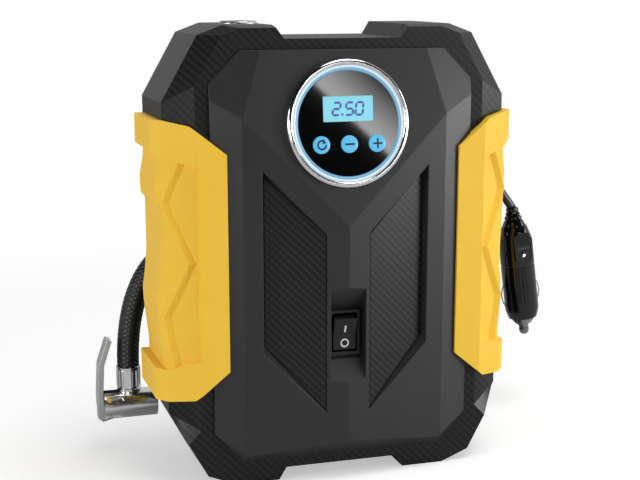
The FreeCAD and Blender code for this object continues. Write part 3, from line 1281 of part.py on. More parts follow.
# ------------------------------------------------------------------ power cord and plug
def make_cord():
    profile = [
        ("cord_radius + 0.05", "-wall - 2.5"), ("relief_radius + 0.6", "-wall - 2.5"),
        ("relief_radius + 0.6", "-wall - 0.5"), ("relief_radius - 1.3", "-wall - 0.5"),
        ("relief_radius - 1.3", "0"), ("relief_radius", "0"), ("relief_radius - 1.4",
                                                                "relief_long - 0.5"),
        ("cord_radius + 0.05", "relief_long - 0.5")]
    relief = turned("relief_boot", profile, ("relief_x", "rear_face", "relief_z"), TO_BACK)
    node("strain_relief", relief)
    radius = size("cord_radius")
    node("power_cord_case", computed("cord_case_run",
                                     routed_tube(CORD_ROUTE_CASE, radius, "power_cord_case")))
    node("power_cord_plug", computed("cord_plug_run",
                                     routed_tube(CORD_ROUTE_PLUG, radius, "power_cord_plug")))
    coil = doc.addObject("Part::Torus", "coil_torus")
    bind(coil, "Radius1", "coil_ring")
    bind(coil, "Radius2", "coil_section")
    put(coil, ("coil_x", "coil_y", "coil_section"))
    node("cord_coil", coil)
    band = cylinder("tie_band", "coil_section + tie_thick", "tie_wide",
                    ("coil_x - tie_wide / 2", "coil_y + coil_ring", "coil_section"), TO_RIGHT)
    hole = cylinder("tie_bore", "coil_section + fit_gap", "tie_wide * 3",
                    ("coil_x - tie_wide * 3 / 2", "coil_y + coil_ring", "coil_section"), TO_RIGHT)
    under = block("tie_under", ("tie_wide * 3", "tie_open", "tie_open + tie_rise"),
                  ("coil_x - tie_wide * 3 / 2", "coil_y + coil_ring - tie_open / 2", "-tie_open"))
    node("coil_tie", cut("tie_ring", band, hole, under))


def make_cord_clip():
    """The hook on the back that the cord passes over on its way to the plug."""
    outer = "cord_radius + cord_clip_wall"
    depth = "rear_face + cord_clip_back"
    at_x = "cord_clip_x - cord_clip_wide / 2"
    ring = cylinder("cord_clip_ring", outer, "cord_clip_wide",
                    (at_x, depth, "cord_clip_z"), TO_RIGHT)
    stem = block("cord_clip_stem", ("cord_clip_wide", "cord_clip_back", "3.2"),
                 (at_x, "rear_face", "cord_clip_z - 1.6"))
    bore = cylinder("cord_clip_bore", "cord_radius + 0.2", "30",
                    ("cord_clip_x - 15", depth, "cord_clip_z"), TO_RIGHT)
    mouth = block("cord_clip_mouth", ("20", "3.4", "20"),
                  ("cord_clip_x - 10", f"{depth} - 1.7", "cord_clip_z"))
    return cut("cord_clip_solid", together("cord_clip_parts", [ring, stem]), bore, mouth)


def plug_turn():
    """The plug's own Z runs from the cord to the tip, hanging a little outwards."""
    return Rotation(Vector(0, 1, 0), 180 - size("plug_tilt"))


def on_plug(made):
    return put(made, ("plug_x", "plug_y", "plug_z"), plug_turn())


def make_plug():
    node("plug_boot", on_plug(turned("plug_boot_cone", [
        ("0", "0"), ("cord_radius + 0.9", "0"), ("plug_radius - 3", "plug_boot"),
        ("0", "plug_boot")])))
    shell = turned("plug_shell_round", [
        ("plug_bore", "plug_boot"), ("plug_radius - 3", "plug_boot"),
        ("plug_radius", "plug_shoulder"), ("plug_radius", "plug_barrel_end"),
        ("plug_radius - 1.4", "plug_nose_end"), ("plug_bore", "plug_nose_end")])
    node("plug_shell", on_plug(shell))
    node("plug_collar", on_plug(turned("plug_collar_ring", [
        ("plug_tip_radius + fit_gap", "plug_nose_end"), ("plug_collar_radius", "plug_nose_end"),
        ("plug_collar_radius", "plug_collar_end - 1"),
        ("plug_collar_radius - 1.2", "plug_collar_end"),
        ("plug_tip_radius + fit_gap", "plug_collar_end")])))
    node("plug_tip", on_plug(turned("plug_tip_pin", [
        ("0", "plug_nose_end - 3.5"), ("plug_bore - 0.15", "plug_nose_end - 3.5"),
        ("plug_bore - 0.15", "plug_nose_end - 0.3"), ("plug_tip_radius", "plug_nose_end - 0.3"),
        ("plug_tip_radius", "plug_tip_end - 2.4"), ("plug_tip_radius - 1.3", "plug_tip_end"),
        ("0", "plug_tip_end")])))
    node("plug_fuse", on_plug(turned("plug_fuse_tube", [
        ("0", "plug_shoulder"), ("fuse_radius", "plug_shoulder"),
        ("fuse_radius", "plug_shoulder + 26"), ("0", "plug_shoulder + 26")])))
    node("plug_spring", on_plug(turned("plug_spring_coil", [
        ("1.6", "plug_shoulder + 26"), ("2.6", "plug_shoulder + 26"),
        ("2.6", "plug_nose_end - 3.5"), ("1.6", "plug_nose_end - 3.5")])))
    make_plug_contacts()


def make_plug_contacts():
    """Two sprung wires on the sides of the barrel, each a shallow arc."""
    radius = size("plug_radius")
    reach = size("contact_reach")
    low = size("contact_from")
    high = size("contact_to")
    wire = size("contact_wire")
    wires = []
    for side in (-1, 1):
        ends = [Vector(side * (radius + wire / 2 + 0.02), 0, z) for z in (low, high)]
        crest = Vector(side * (reach - wire), 0, (low + high) / 2)
        arc = Part.Arc(ends[0], crest, ends[1]).toShape()
        path = Part.Wire([arc])
        heading = arc.tangentAt(arc.FirstParameter)
        ring = Part.Wire(Part.makeCircle(wire / 2, ends[0], heading))
        wires.append(path.makePipeShell([ring], True, False))
    pair = computed("plug_contact_pair", Part.makeCompound(wires))
    pair.Placement = Placement(Vector(size("plug_x"), size("plug_y"), size("plug_z")), plug_turn())
    node("plug_contacts", pair)


# ------------------------------------------------------------------ build and write
def build_all():
    make_front_shell()
    make_rear_shell()
    make_fascia()
    make_inserts()
    make_grips()
    make_lamp()
    make_gauge()
    make_switch()
    make_motor()
    make_crank_wheel()
    make_pump_frame()
    node("screws", group("screw_set", make_case_screws() + make_pump_screws()))
    make_piston()
    make_cylinder()
    make_sleeves()
    make_air_line()
    make_hose()
    make_chuck()
    make_cord()
    make_plug()
    doc.recompute()


def write_all():
    os.makedirs("parts", exist_ok=True)
    for made in doc.Objects:
        if "Invalid" in made.State or "Error" in made.State:
            raise RuntimeError(f"{made.Name} did not recompute: {made.State}")
    for made in NODES:
        shape = made.Shape
        if shape.isNull() or not shape.isValid() or not shape.Solids:
            raise RuntimeError(f"{made.Label} has no valid solid")
        placed = shape.copy()
        placed.translate(Vector(0, -size("origin_depth"), 0))
        placed.exportStep(os.path.join("parts", made.Label + ".step"))
    print(f"{len(NODES)} nodes written")


build_all()
write_all()
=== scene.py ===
# %% [markdown]
# # A portable tyre inflator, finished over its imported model
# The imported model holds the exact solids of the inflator: shells, pump, gauge, switch, hose,
# cord and plug. This file gives each of them its surface. A solid whose shape is already right
# keeps its mesh and only gets a material. A solid that needs soft edges, a weave, ribs or marks
# is replaced by a finer piece that stands in the same place.
# Lengths are written in millimetres, as in the drawing of the part, and turned to metres once.

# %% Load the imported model
import bpy
import bmesh
import json
import math
import numpy as np
from mathutils import Matrix, Quaternion, Vector


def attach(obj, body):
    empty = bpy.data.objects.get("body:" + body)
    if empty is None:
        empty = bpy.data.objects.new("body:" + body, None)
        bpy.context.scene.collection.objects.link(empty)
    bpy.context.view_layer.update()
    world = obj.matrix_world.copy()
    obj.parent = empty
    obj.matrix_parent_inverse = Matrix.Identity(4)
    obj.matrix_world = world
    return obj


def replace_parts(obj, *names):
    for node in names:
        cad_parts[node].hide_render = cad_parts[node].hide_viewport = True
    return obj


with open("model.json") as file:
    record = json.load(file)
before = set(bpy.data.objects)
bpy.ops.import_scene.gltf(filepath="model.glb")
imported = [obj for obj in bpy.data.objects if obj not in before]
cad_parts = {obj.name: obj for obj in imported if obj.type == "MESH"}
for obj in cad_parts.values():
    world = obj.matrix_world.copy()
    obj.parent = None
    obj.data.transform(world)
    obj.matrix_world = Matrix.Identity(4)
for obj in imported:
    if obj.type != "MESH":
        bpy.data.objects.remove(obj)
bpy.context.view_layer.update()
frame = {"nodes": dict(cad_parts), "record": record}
MM = 0.001
RIM_FRONT = -29.5        # depth of the rim's flat front in the frame, in mm
REAR_FACE = 56.0         # depth of the case's back behind the rim's front, in mm
BODY_OF = {node: body for body, nodes in frame["record"]["behaviour"]["bodies"].items()
           for node in nodes}


# %% [markdown]
# Every point in this file is written as the drawing has it: across, back from the rim's flat
# front, and up, in millimetres. One function turns such a point into the scene's metres.

# %% Places
def place(x, depth, z):
    """A point of the drawing as a vector in metres."""
    return Vector((x, depth + RIM_FRONT, z)) * MM


def new_object(name, data):
    """An object that is linked to the scene."""
    made = bpy.data.objects.new(name, data)
    bpy.context.scene.collection.objects.link(made)
    return made


def evaluated_copy(piece):
    """The piece's mesh with its modifiers applied."""
    graph = bpy.context.evaluated_depsgraph_get()
    return bpy.data.meshes.new_from_object(piece.evaluated_get(graph))


def add_piece(name, mesh, body, material=None, smooth=None):
    """Put a mesh in the scene as a piece that rides on a body."""
    piece = new_object(name, mesh)
    if material is not None:
        mesh.materials.clear()
        mesh.materials.append(material)
    if smooth is not None:
        mesh.shade_smooth()
        mesh.set_sharp_from_angle(angle=math.radians(smooth))
    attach(piece, body)
    return piece


# %% [markdown]
# The camera stands to the left of the inflator, a little above its middle, and looks slightly
# down. A long lens keeps the case's upright edges almost parallel. The small vertical shift only
# places the object in the picture.

# %% Camera
eye = place(-185.55, -553.56, 219.86)
sight = Vector((0.29392, 0.92963, -0.22226))
camera_data = bpy.data.cameras.new("studio_camera")
camera_data.lens = 74.9
camera_data.sensor_width = 36.0
camera_data.shift_y = 0.0784
camera_data.clip_start = 0.01
camera = new_object("studio_camera", camera_data)
camera.location = eye
camera.rotation_euler = sight.to_track_quat("-Z", "Y").to_euler()
bpy.context.scene.camera = camera
print("camera at", [round(v, 3) for v in camera.location])


# %% [markdown]
# A hose and a cord are made from the routes of the drawing. The points pull a smooth curve, and
# that curve is read back as a line, so that braid, turns and ribs can follow it. The line is cut
# into equal steps, and a frame is carried along it without twist.

# %% Curves for hose and cord
def smooth_line(name, points, step):
    """Points every `step` mm on the smooth curve that the route's points pull."""
    data = bpy.data.curves.new(name, "CURVE")
    data.dimensions = "3D"
    data.resolution_u = 12
    spline = data.splines.new("NURBS")
    spline.points.add(len(points) - 1)
    for control, point in zip(spline.points, points):
        control.co = (*place(*point), 1)
    spline.order_u = 3
    spline.use_endpoint_u = True
    holder = new_object(name, data)
    mesh = evaluated_copy(holder)
    line = np.array([vertex.co for vertex in mesh.vertices])
    bpy.data.objects.remove(holder)
    bpy.data.meshes.remove(mesh)
    gone = np.concatenate([[0], np.cumsum(np.linalg.norm(np.diff(line, axis=0), axis=1))])
    count = max(int(round(gone[-1] / (step * MM))), 2)
    even = np.linspace(0, gone[-1], count + 1)
    return np.stack([np.interp(even, gone, line[:, i]) for i in range(3)], axis=1), gone[-1]


def carried_frames(line):
    """Heading and two side directions at each point of a line, without twist."""
    heading = np.gradient(line, axis=0)
    heading /= np.linalg.norm(heading, axis=1)[:, None]
    side = np.cross(heading[0], (0.0, 0.0, 1.0))
    if np.linalg.norm(side) < 0.1:
        side = np.cross(heading[0], (0.0, 1.0, 0.0))
    sides = []
    for direction in heading:
        side = side - direction * side.dot(direction)
        side /= np.linalg.norm(side)
        sides.append(side)
    sides = np.array(sides)
    return heading, sides, np.cross(heading, sides)


def tube_mesh(name, line, radius, around, relief=None, repeat=1.0):
    """A closed tube along a line. `relief` gives the extra radius at (along, around)."""
    heading, across, up = carried_frames(line)
    steps = np.linalg.norm(np.diff(line, axis=0), axis=1)
    along = np.concatenate([[0], np.cumsum(steps)])
    turn = np.arange(around) / around
    grid_along, grid_turn = np.meshgrid(along, turn, indexing="ij")
    reach = np.full(grid_along.shape, radius)
    if relief is not None:
        reach = reach + relief(grid_along, grid_turn)
    angle = grid_turn * math.tau
    points = (line[:, None, :] + across[:, None, :] * (np.cos(angle) * reach)[..., None]
              + up[:, None, :] * (np.sin(angle) * reach)[..., None])
    rows = len(line)
    first = np.arange(rows - 1)[:, None] * around + np.arange(around)[None, :]
    second = np.arange(rows - 1)[:, None] * around + (np.arange(around)[None, :] + 1) % around
    quads = np.stack([first, second, second + around, first + around], axis=-1).reshape(-1, 4)
    faces = quads.tolist()
    faces.append(list(range(around))[::-1])
    faces.append([(rows - 1) * around + i for i in range(around)])
    mesh = bpy.data.meshes.new(name)
    mesh.from_pydata(points.reshape(-1, 3).tolist(), [], faces)
    layer = mesh.uv_layers.new(name="along")
    uv = np.zeros((len(mesh.loops), 2))
    r, c = np.meshgrid(np.arange(rows - 1), np.arange(around), indexing="ij")
    u = np.stack([c, c + 1, c + 1, c], axis=-1).reshape(-1) / around
    v = np.stack([along[r], along[r], along[r + 1], along[r + 1]], axis=-1).reshape(-1)
    uv[:len(u), 0] = u
    uv[:len(v), 1] = v * repeat
    layer.data.foreach_set("uv", uv.astype(np.float32).ravel())
    mesh.shade_smooth()
    mesh.update()
    return mesh


# %% [markdown]
# The air hose is a rubber tube in a braided sleeve. It leaves its outlet low on the back, runs up
# and over in two clips, and hangs down beside the left grip to the lever chuck.

# %% Hose route
HOSE_DEPTH = REAR_FACE + 7.6
HOSE_POINTS = [(x, HOSE_DEPTH, z) for x, z in (
    (-2, 14.2), (14, 14.2), (45, 15.4), (73, 42.7), (73, 83.3), (44.3, 112),
    (-6, 114), (-56, 108), (-87.5, 78), (-87.5, 42))]
hose_line, hose_length = smooth_line("hose_route", HOSE_POINTS, 0.42)
print("hose line", round(hose_length * 1000, 1), "mm in", len(hose_line), "points")

# %% [markdown]
# The sleeve's braid is two sets of flat strands that wind in opposite directions and pass over
# and under each other, two by two. Drawn as relief, each strand is a low ridge that sinks where it
# goes under. Strands of 1.6 mm are a little wider than the real ones, so that they show.

# %% Braided sleeve
HOSE_RADIUS = 5.1
STRANDS = 12
BRAID_PITCH = 26.0       # one full wind of a strand along the hose, in mm
BRAID_HEIGHT = 0.42      # from the lowest gap to a strand's top, in mm
SUNK = 0.35              # a strand that goes under keeps this share of its height


def braid_relief(along, turn):
    """Height of the braid: the higher of the two crossing strands."""
    wind = along / (BRAID_PITCH * MM)
    right = (turn + wind) * STRANDS
    left = (turn - wind) * STRANDS
    ridge_right = 1 - (2 * (right % 1) - 1) ** 2
    ridge_left = 1 - (2 * (left % 1) - 1) ** 2
    over = ((np.floor(right) + np.floor(left)) % 4) < 2
    right_level = ridge_right * np.where(over, 1.0, SUNK)
    left_level = ridge_left * np.where(over, SUNK, 1.0)
    return (np.maximum(right_level, left_level) - 0.5) * BRAID_HEIGHT * MM


hose_mesh = tube_mesh("air_hose_braid", hose_line, HOSE_RADIUS * MM, 72, braid_relief, 1000.0)
hose = add_piece("air_hose_braid", hose_mesh, "case")
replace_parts(hose, "air_hose")
print("braid faces", len(hose_mesh.polygons))

# %% [markdown]
# The power cord is a thin round lead. It leaves a strain relief on the back, its spare length
# lies in one neat coil behind the case, and its other end rises over a small clip to the adapter
# plug. The coil has eleven turns on the outside and five within, each beside the next, so the
# whole cord is one line: the first run, the sixteen turns and the last run.

# %% Cord route
CORD_RADIUS = 2.25
CORD_FROM_CASE = [(40, 68, 62), (40, 86, 61), (40, 101, 49), (35, 106, 32)]
CORD_TO_PLUG = [(62, 108, 33), (56, 95, 60), (37, 86, 82), (21, 78, 102), (19, 71.5, 123),
                (36, 67, 137), (56, 66.2, 136), (72, 66.6, 136), (96, 74, 131),
                (109.6, 75, 119.6), (118.9, 75, 106.6)]
COIL_CENTRE = (35, 128, 10.5)
COIL_RING = 26.0         # radius of the coil, to the middle of its bundle
OUTER_REACH = 8.1        # from the bundle's middle to an outer turn
INNER_REACH = 3.9
COIL_STARTS = -118.0     # degrees
COIL_ENDS = 100.0        # degrees past the whole turns
OUTER_TURNS = 11
INNER_TURNS = 5
TURNS_BEFORE = 4


def coil_points(per_turn=14):
    """The turns, clockwise from above: some outer ones, the inner ones, the other outer ones."""
    start = math.radians(COIL_STARTS)
    turns = OUTER_TURNS + INNER_TURNS
    sweep = math.radians(COIL_ENDS) - math.tau * turns
    points = []
    for i in range(turns * per_turn + 1):
        turn_number = i / per_turn
        wound = min(turn_number, TURNS_BEFORE) + max(turn_number - TURNS_BEFORE - INNER_TURNS, 0)
        lean = math.radians(90) + math.tau * wound / OUTER_TURNS
        reach = OUTER_REACH
        if TURNS_BEFORE < turn_number < TURNS_BEFORE + INNER_TURNS:
            reach = INNER_REACH
            lean += math.tau * (turn_number - TURNS_BEFORE) / INNER_TURNS
        angle = start + sweep * turn_number / turns
        ring = COIL_RING + reach * math.cos(lean)
        points.append((COIL_CENTRE[0] + ring * math.cos(angle),
                       COIL_CENTRE[1] + ring * math.sin(angle),
                       COIL_CENTRE[2] + reach * math.sin(lean)))
    return points


cord_line, cord_length = smooth_line(
    "cord_route", CORD_FROM_CASE + coil_points() + CORD_TO_PLUG, 2.0)
print("cord line", round(cord_length * 1000, 1), "mm in", len(cord_line), "points")
cord_mesh = tube_mesh("power_cord_lead", cord_line, CORD_RADIUS * MM, 12, None, 1000.0)
cord = add_piece("power_cord_lead", cord_mesh, "case")
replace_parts(cord, "power_cord_case", "power_cord_plug", "cord_coil")

# %% [markdown]
# ## Materials
# Each finish starts from what the real one is. Colours are written as sRGB hex and turned to the
# linear values that a shader takes. One small function adds a shader node with its settings,
# values and links. Sizes of grain and weave are in millimetres.

# %% Colour and shader helpers
def linear(code):
    """An sRGB hex colour as linear red, green, blue and alpha."""
    parts = [int(code[i:i + 2], 16) / 255 for i in (1, 3, 5)]
    return (*[p / 12.92 if p <= 0.04045 else ((p + 0.055) / 1.055) ** 2.4 for p in parts], 1.0)


def add(owner, kind, values=None, links=None, **settings):
    """Add a node to an owner's tree; values and links are given by input name or number."""
    tree = getattr(owner, "node_tree", owner)
    made = tree.nodes.new(kind)
    for key, value in settings.items():
        setattr(made, key, value)
    for key, value in (values or {}).items():
        made.inputs[key].default_value = value
    for key, socket in (links or {}).items():
        tree.links.new(socket, made.inputs[key])
    return made


def new_finish(name, code, roughness, **values):
    """A material with one Principled shader; further values by input name."""
    material = bpy.data.materials.new(name)
    material.use_nodes = True
    shader = material.node_tree.nodes["Principled BSDF"]
    shader.inputs["Base Color"].default_value = linear(code)
    shader.inputs["Roughness"].default_value = roughness
    for key, value in values.items():
        shader.inputs[key.replace("_", " ")].default_value = value
    return material


def link(material, socket, name):
    shader = material.node_tree.nodes["Principled BSDF"]
    material.node_tree.links.new(socket, shader.inputs[name])


def grained(material, dark, light, grain, depth, patch=18.0):
    """Fine bumps of one grain size, and a faint change of tone over larger patches."""
    where = add(material, "ShaderNodeTexCoord").outputs["Object"]
    fine = add(material, "ShaderNodeTexNoise", {"Scale": 1 / (grain * MM), "Detail": 3.0},
               {"Vector": where})
    wide = add(material, "ShaderNodeTexNoise", {"Scale": 1 / (patch * MM), "Detail": 2.0},
               {"Vector": where})
    tone = add(material, "ShaderNodeMix", {6: linear(dark), 7: linear(light)},
               {0: wide.outputs[0]}, data_type="RGBA")
    bump = add(material, "ShaderNodeBump", {"Strength": 1.0, "Distance": depth * MM},
               {"Height": fine.outputs[0]})
    link(material, tone.outputs[2], "Base Color")
    link(material, bump.outputs[0], "Normal")
    return material


# %% [markdown]
# The case is moulded ABS. Its mould was spark-eroded, which leaves a fine, even, dull grain that
# breaks up reflections. The real grain is about 0.1 mm; it is drawn at 0.7 mm so that it shows.

# %% Case plastics
abs_charcoal = grained(new_finish("moulded_abs_charcoal", "#252527", 0.4,
                                  Specular_IOR_Level=0.4),
                       "#232325", "#28282a", 0.7, 0.03)
abs_shell = grained(new_finish("moulded_abs_shell", "#232325", 0.48, Specular_IOR_Level=0.28),
                    "#212123", "#262628", 0.7, 0.035)
abs_black = grained(new_finish("moulded_abs_black", "#101011", 0.3, Specular_IOR_Level=0.4),
                    "#0e0e0f", "#121213", 0.9, 0.012)
gloss_black = grained(new_finish("polished_mould_black", "#080809", 0.1),
                      "#070708", "#0a0a0b", 2.5, 0.004)
print("case plastics made")

# %% [markdown]
# The grips are a soft elastomer moulded over the case's sides. It has a dry, slightly powdery
# look: a matt surface, a little sheen at its turned-away faces, and a very fine stipple.

# %% Grip elastomer
grip_yellow = grained(new_finish("soft_touch_elastomer_yellow", "#fccb38", 0.55,
                                 Sheen_Weight=0.05, Sheen_Roughness=0.5,
                                 Specular_IOR_Level=0.3),
                      "#fbc835", "#fdce3c", 0.8, 0.02, 30.0)


# %% [markdown]
# The carbon look is a printed film under clear lacquer. Its pattern is a twill: tows cross over
# two and under two, and each row starts one tow later, so that slanting stripes appear. The
# pattern is worked out from the position: the cell's row and column say which tow lies on top.

# %% Carbon-look film
def maths(owner, operation, *items):
    """A Math node on numbers or sockets."""
    values = {i: item for i, item in enumerate(items) if isinstance(item, (int, float))}
    links = {i: item for i, item in enumerate(items) if i not in values}
    return add(owner, "ShaderNodeMath", values, links, operation=operation).outputs[0]


def twill_film(name, cell, dark, light, roughness=0.34):
    material = new_finish(name, dark, roughness, Specular_IOR_Level=0.25, Coat_Weight=0.05,
                          Coat_Roughness=0.15)
    where = add(material, "ShaderNodeTexCoord").outputs["Object"]
    axes = add(material, "ShaderNodeSeparateXYZ", links={0: where})
    across = maths(material, "DIVIDE", axes.outputs[0], cell * MM)
    upward = maths(material, "DIVIDE", axes.outputs[2], cell * MM)
    column = maths(material, "FLOOR", across)
    row = maths(material, "FLOOR", upward)
    step = maths(material, "FLOORED_MODULO", maths(material, "ADD", column, row), 4.0)
    lying = maths(material, "LESS_THAN", step, 1.5)
    round_up = maths(material, "PINGPONG", upward, 0.5)
    round_across = maths(material, "PINGPONG", across, 0.5)
    height = add(material, "ShaderNodeMix", links={0: lying, 2: round_across, 3: round_up})
    bump = add(material, "ShaderNodeBump", {"Strength": 0.35, "Distance": 0.1 * MM},
               {"Height": height.outputs[0]})
    tone = add(material, "ShaderNodeMix", {6: linear(dark), 7: linear(light)}, {0: lying},
               data_type="RGBA")
    link(material, tone.outputs[2], "Base Color")
    link(material, bump.outputs[0], "Normal")
    return material


carbon_rim = twill_film("carbon_twill_film_rim", 0.95, "#070708", "#1e1e20")
carbon_insert = twill_film("carbon_twill_film_insert", 0.85, "#060607", "#222225")
print("carbon films made")

# %% [markdown]
# Metals keep the default IOR. Polished chrome has a nearly mirror-like surface; turned brass,
# cast alloy and plated steel are rougher, and the casting has a coarse skin.

# %% Metals
chrome = grained(new_finish("polished_chrome", "#d9dadd", 0.08, Metallic=1.0),
                 "#d6d7da", "#dddee0", 6.0, 0.003)
brass = grained(new_finish("turned_brass", "#c9a45c", 0.25, Metallic=1.0),
                "#c19b52", "#d0ac66", 1.0, 0.004)
steel = grained(new_finish("zinc_plated_steel", "#a9aaad", 0.32, Metallic=1.0),
                "#9fa0a3", "#b2b3b6", 1.2, 0.006)
alloy = grained(new_finish("cast_aluminium", "#9d9ea1", 0.5, Metallic=1.0),
                "#929396", "#a6a7aa", 0.9, 0.05)
laminated_iron = grained(new_finish("wound_armature", "#7a4a2c", 0.45, Metallic=0.6),
                         "#6b3f25", "#8a5734", 0.8, 0.06)
lever_metal = grained(new_finish("satin_plated_lever", "#b9babd", 0.34, Metallic=1.0),
                      "#b0b1b4", "#c3c4c7", 0.7, 0.006)
satin_chrome = grained(new_finish("satin_chrome_barrel", "#d4d5d8", 0.2, Metallic=1.0),
                       "#cfd0d3", "#dadbde", 0.8, 0.004)
nickel = grained(new_finish("nickel_plated_brass", "#85868a", 0.24, Metallic=1.0),
                 "#7e7f83", "#8f9094", 0.8, 0.004)
print("metals made")

# %% [markdown]
# Rubber, nylon, circuit board and clear plastics follow. They are mostly inside the case, but
# they are finished, because the inflator can be taken apart.

# %% Rubber, nylon and board
rubber = grained(new_finish("moulded_rubber_black", "#1b1b1c", 0.62),
                 "#181819", "#1f1f20", 0.8, 0.02)
pvc = grained(new_finish("extruded_pvc_black", "#18181a", 0.36), "#151517", "#1c1c1e", 1.5, 0.01)
silicone = grained(new_finish("silicone_tube", "#c9c5b8", 0.4), "#c2beb0", "#d0ccc0", 2.0, 0.01)
nylon = grained(new_finish("moulded_nylon", "#ded9c9", 0.4), "#d8d2c0", "#e4e0d2", 0.8, 0.02)
solder_mask = grained(new_finish("circuit_board_green", "#12563a", 0.3),
                      "#0f4d33", "#166242", 1.4, 0.01)
fuse_glass = grained(new_finish("fuse_glass", "#d7e0e2", 0.08), "#d0dadd", "#dfe7e9", 3.0, 0.003)
lens_clear = new_finish("smoked_polycarbonate", "#8d9295", 0.2, Transmission_Weight=0.6, IOR=1.58)
reflector = grained(new_finish("vacuum_metallised_bowl", "#e4e5e7", 0.12, Metallic=1.0),
                    "#dfe0e2", "#e9eaec", 3.0, 0.01)
strap_weave = grained(new_finish("hook_and_loop_strap", "#1a1a1c", 0.85, Sheen_Weight=0.3),
                      "#151517", "#242427", 0.5, 0.12)
print("soft materials made")

# %% [markdown]
# The gauge's lit parts shine by themselves: an edge-lit ring, the display's backlight and three
# keys. Their light is kept low, at which their colour still shows.

# %% Lit finishes
def lit(name, code, glow, strength, roughness=0.3, **values):
    material = grained(new_finish(name, code, roughness, **values), code, code, 1.5, 0.004)
    shader = material.node_tree.nodes["Principled BSDF"]
    shader.inputs["Emission Color"].default_value = linear(glow)
    shader.inputs["Emission Strength"].default_value = strength
    return material


glow_ring = lit("edge_lit_acrylic_blue", "#5a87a2", "#7fb8dc", 0.5)
glow_white = lit("edge_lit_acrylic_white", "#a9b4bb", "#e6f5ff", 0.5)
backlight = lit("display_backlight", "#66a5b2", "#8fe3f5", 0.5)
digit_ink = lit("display_segment", "#3b4590", "#4a56b8", 0.35)
key_blue = lit("translucent_key", "#428fb2", "#5fc4f5", 0.5, 0.35)
key_mark = new_finish("printed_key_mark", "#0e1c30", 0.4)
led_white = lit("led_lens", "#f4f8ff", "#f4f8ff", 1.2)
mark_white = new_finish("printed_mark_white", "#e9e9e7", 0.45)
panel_glass = new_finish("back_printed_glass", "#040405", 0.04)
print("lit finishes made")


# %% [markdown]
# The sleeve is woven from black polyester. Where a strand lies on top it shines. That shine is
# painted into the colour as rows of grey spots, a painted highlight, worked out from the strands'
# own positions along and around.

# %% Braid colours with a painted highlight
def braid_finish():
    material = new_finish("woven_polyester_sleeve", "#111112", 0.5, Specular_IOR_Level=0.4)
    where = add(material, "ShaderNodeUVMap", uv_map="along").outputs[0]
    axes = add(material, "ShaderNodeSeparateXYZ", links={0: where})
    wind = maths(material, "DIVIDE", axes.outputs[1], BRAID_PITCH)
    tops = []
    rows = []
    for operation in ("ADD", "SUBTRACT"):
        turn = maths(material, operation, axes.outputs[0], wind)
        strand = maths(material, "MULTIPLY", turn, float(STRANDS))
        rows.append(maths(material, "FLOOR", strand))
        side = maths(material, "PINGPONG", strand, 0.5)
        tops.append(maths(material, "GREATER_THAN", side, 0.24))
    order = maths(material, "FLOORED_MODULO", maths(material, "ADD", *rows), 4.0)
    right_over = maths(material, "LESS_THAN", order, 1.5)
    # Strands that lie on top are painted a lighter grey: a painted highlight for their shine.
    painted_highlight = maths(material, "MULTIPLY", maths(material, "MULTIPLY", *tops), right_over)
    tone = add(material, "ShaderNodeMix", {6: linear("#111112"), 7: linear("#5a5a5d")},
               {0: painted_highlight}, data_type="RGBA")
    link(material, tone.outputs[2], "Base Color")
    return material


hose_mesh.materials.append(braid_finish())
cord_mesh.materials.append(pvc)
print("braid and lead finished")


# %% [markdown]
# ## Shells and panels
# A moulded edge is never sharp: it has a radius of a few tenths of a millimetre that catches the
# light. Here a copy of the solid's mesh is cleaned, its flat faces are joined, and a Bevel
# modifier rounds its edges. The copy then stands for the solid.

# %% Soft-edged copies
WELD = 0.004             # corners nearer than this are one corner, in mm
FLAT_WITHIN = 0.6        # faces that differ less than this are one flat face, in degrees


def cleaned(node):
    """A bare copy of a solid's mesh, and its work mesh with corners welded and flats joined."""
    mesh = frame["nodes"][node].data.copy()
    mesh.materials.clear()
    work = bmesh.new()
    work.from_mesh(mesh)
    bmesh.ops.remove_doubles(work, verts=work.verts, dist=WELD * MM)
    bmesh.ops.dissolve_limit(work, angle_limit=math.radians(FLAT_WITHIN), verts=work.verts,
                             edges=work.edges)
    return mesh, work


def soften(piece, width, segments, angle):
    """Round a piece's edges with a live Bevel modifier."""
    bevel = piece.modifiers.new("edge_radius", "BEVEL")
    bevel.width = width * MM
    bevel.segments = segments
    bevel.limit_method = "ANGLE"
    bevel.angle_limit = math.radians(angle)
    bevel.harden_normals = True
    return bevel


def edged(node, width, material, name=None, second=None, rule=None, segments=2, angle=14,
          smooth=14):
    """A copy of a solid with rounded edges. `rule` picks the faces of a second material."""
    mesh, work = cleaned(node)
    mesh.materials.append(material)
    if second is not None:
        mesh.materials.append(second)
    for face in work.faces:
        face.material_index = int(rule is not None and rule(face))
        face.smooth = True
    work.to_mesh(mesh)
    work.free()
    mesh.set_sharp_from_angle(angle=math.radians(smooth))
    piece = add_piece(name or node + "_moulding", mesh, BODY_OF[node])
    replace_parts(piece, node)
    bevel = soften(piece, width, segments, angle)
    bevel.miter_outer = "MITER_ARC" if segments > 2 else "MITER_SHARP"
    return piece


def faces_front(face):
    """True for the rim's faces that the film covers: all that turn to the front at all."""
    return face.normal.y < -0.2


# %% Rim, rear shell, fascia and inserts
rim = edged("front_shell", 0.35, abs_shell, "rim_moulding", carbon_rim, faces_front, angle=3)
rear = edged("rear_shell", 0.4, abs_shell, "rear_moulding")
fascia = edged("fascia", 0.4, abs_charcoal, "fascia_moulding", angle=3, smooth=3)
inserts = [edged(node, 0.25, carbon_insert, node + "_film")
           for node in ("insert_left", "insert_right")]
print("shell faces", [len(piece.data.polygons) for piece in (rim, rear, fascia)])

# %% Grips
grips = [edged(node, 0.7, grip_yellow, node + "_elastomer", segments=3, angle=4, smooth=4)
         for node in ("grip_left", "grip_right")]
print("grip faces", [len(piece.data.polygons) for piece in grips])

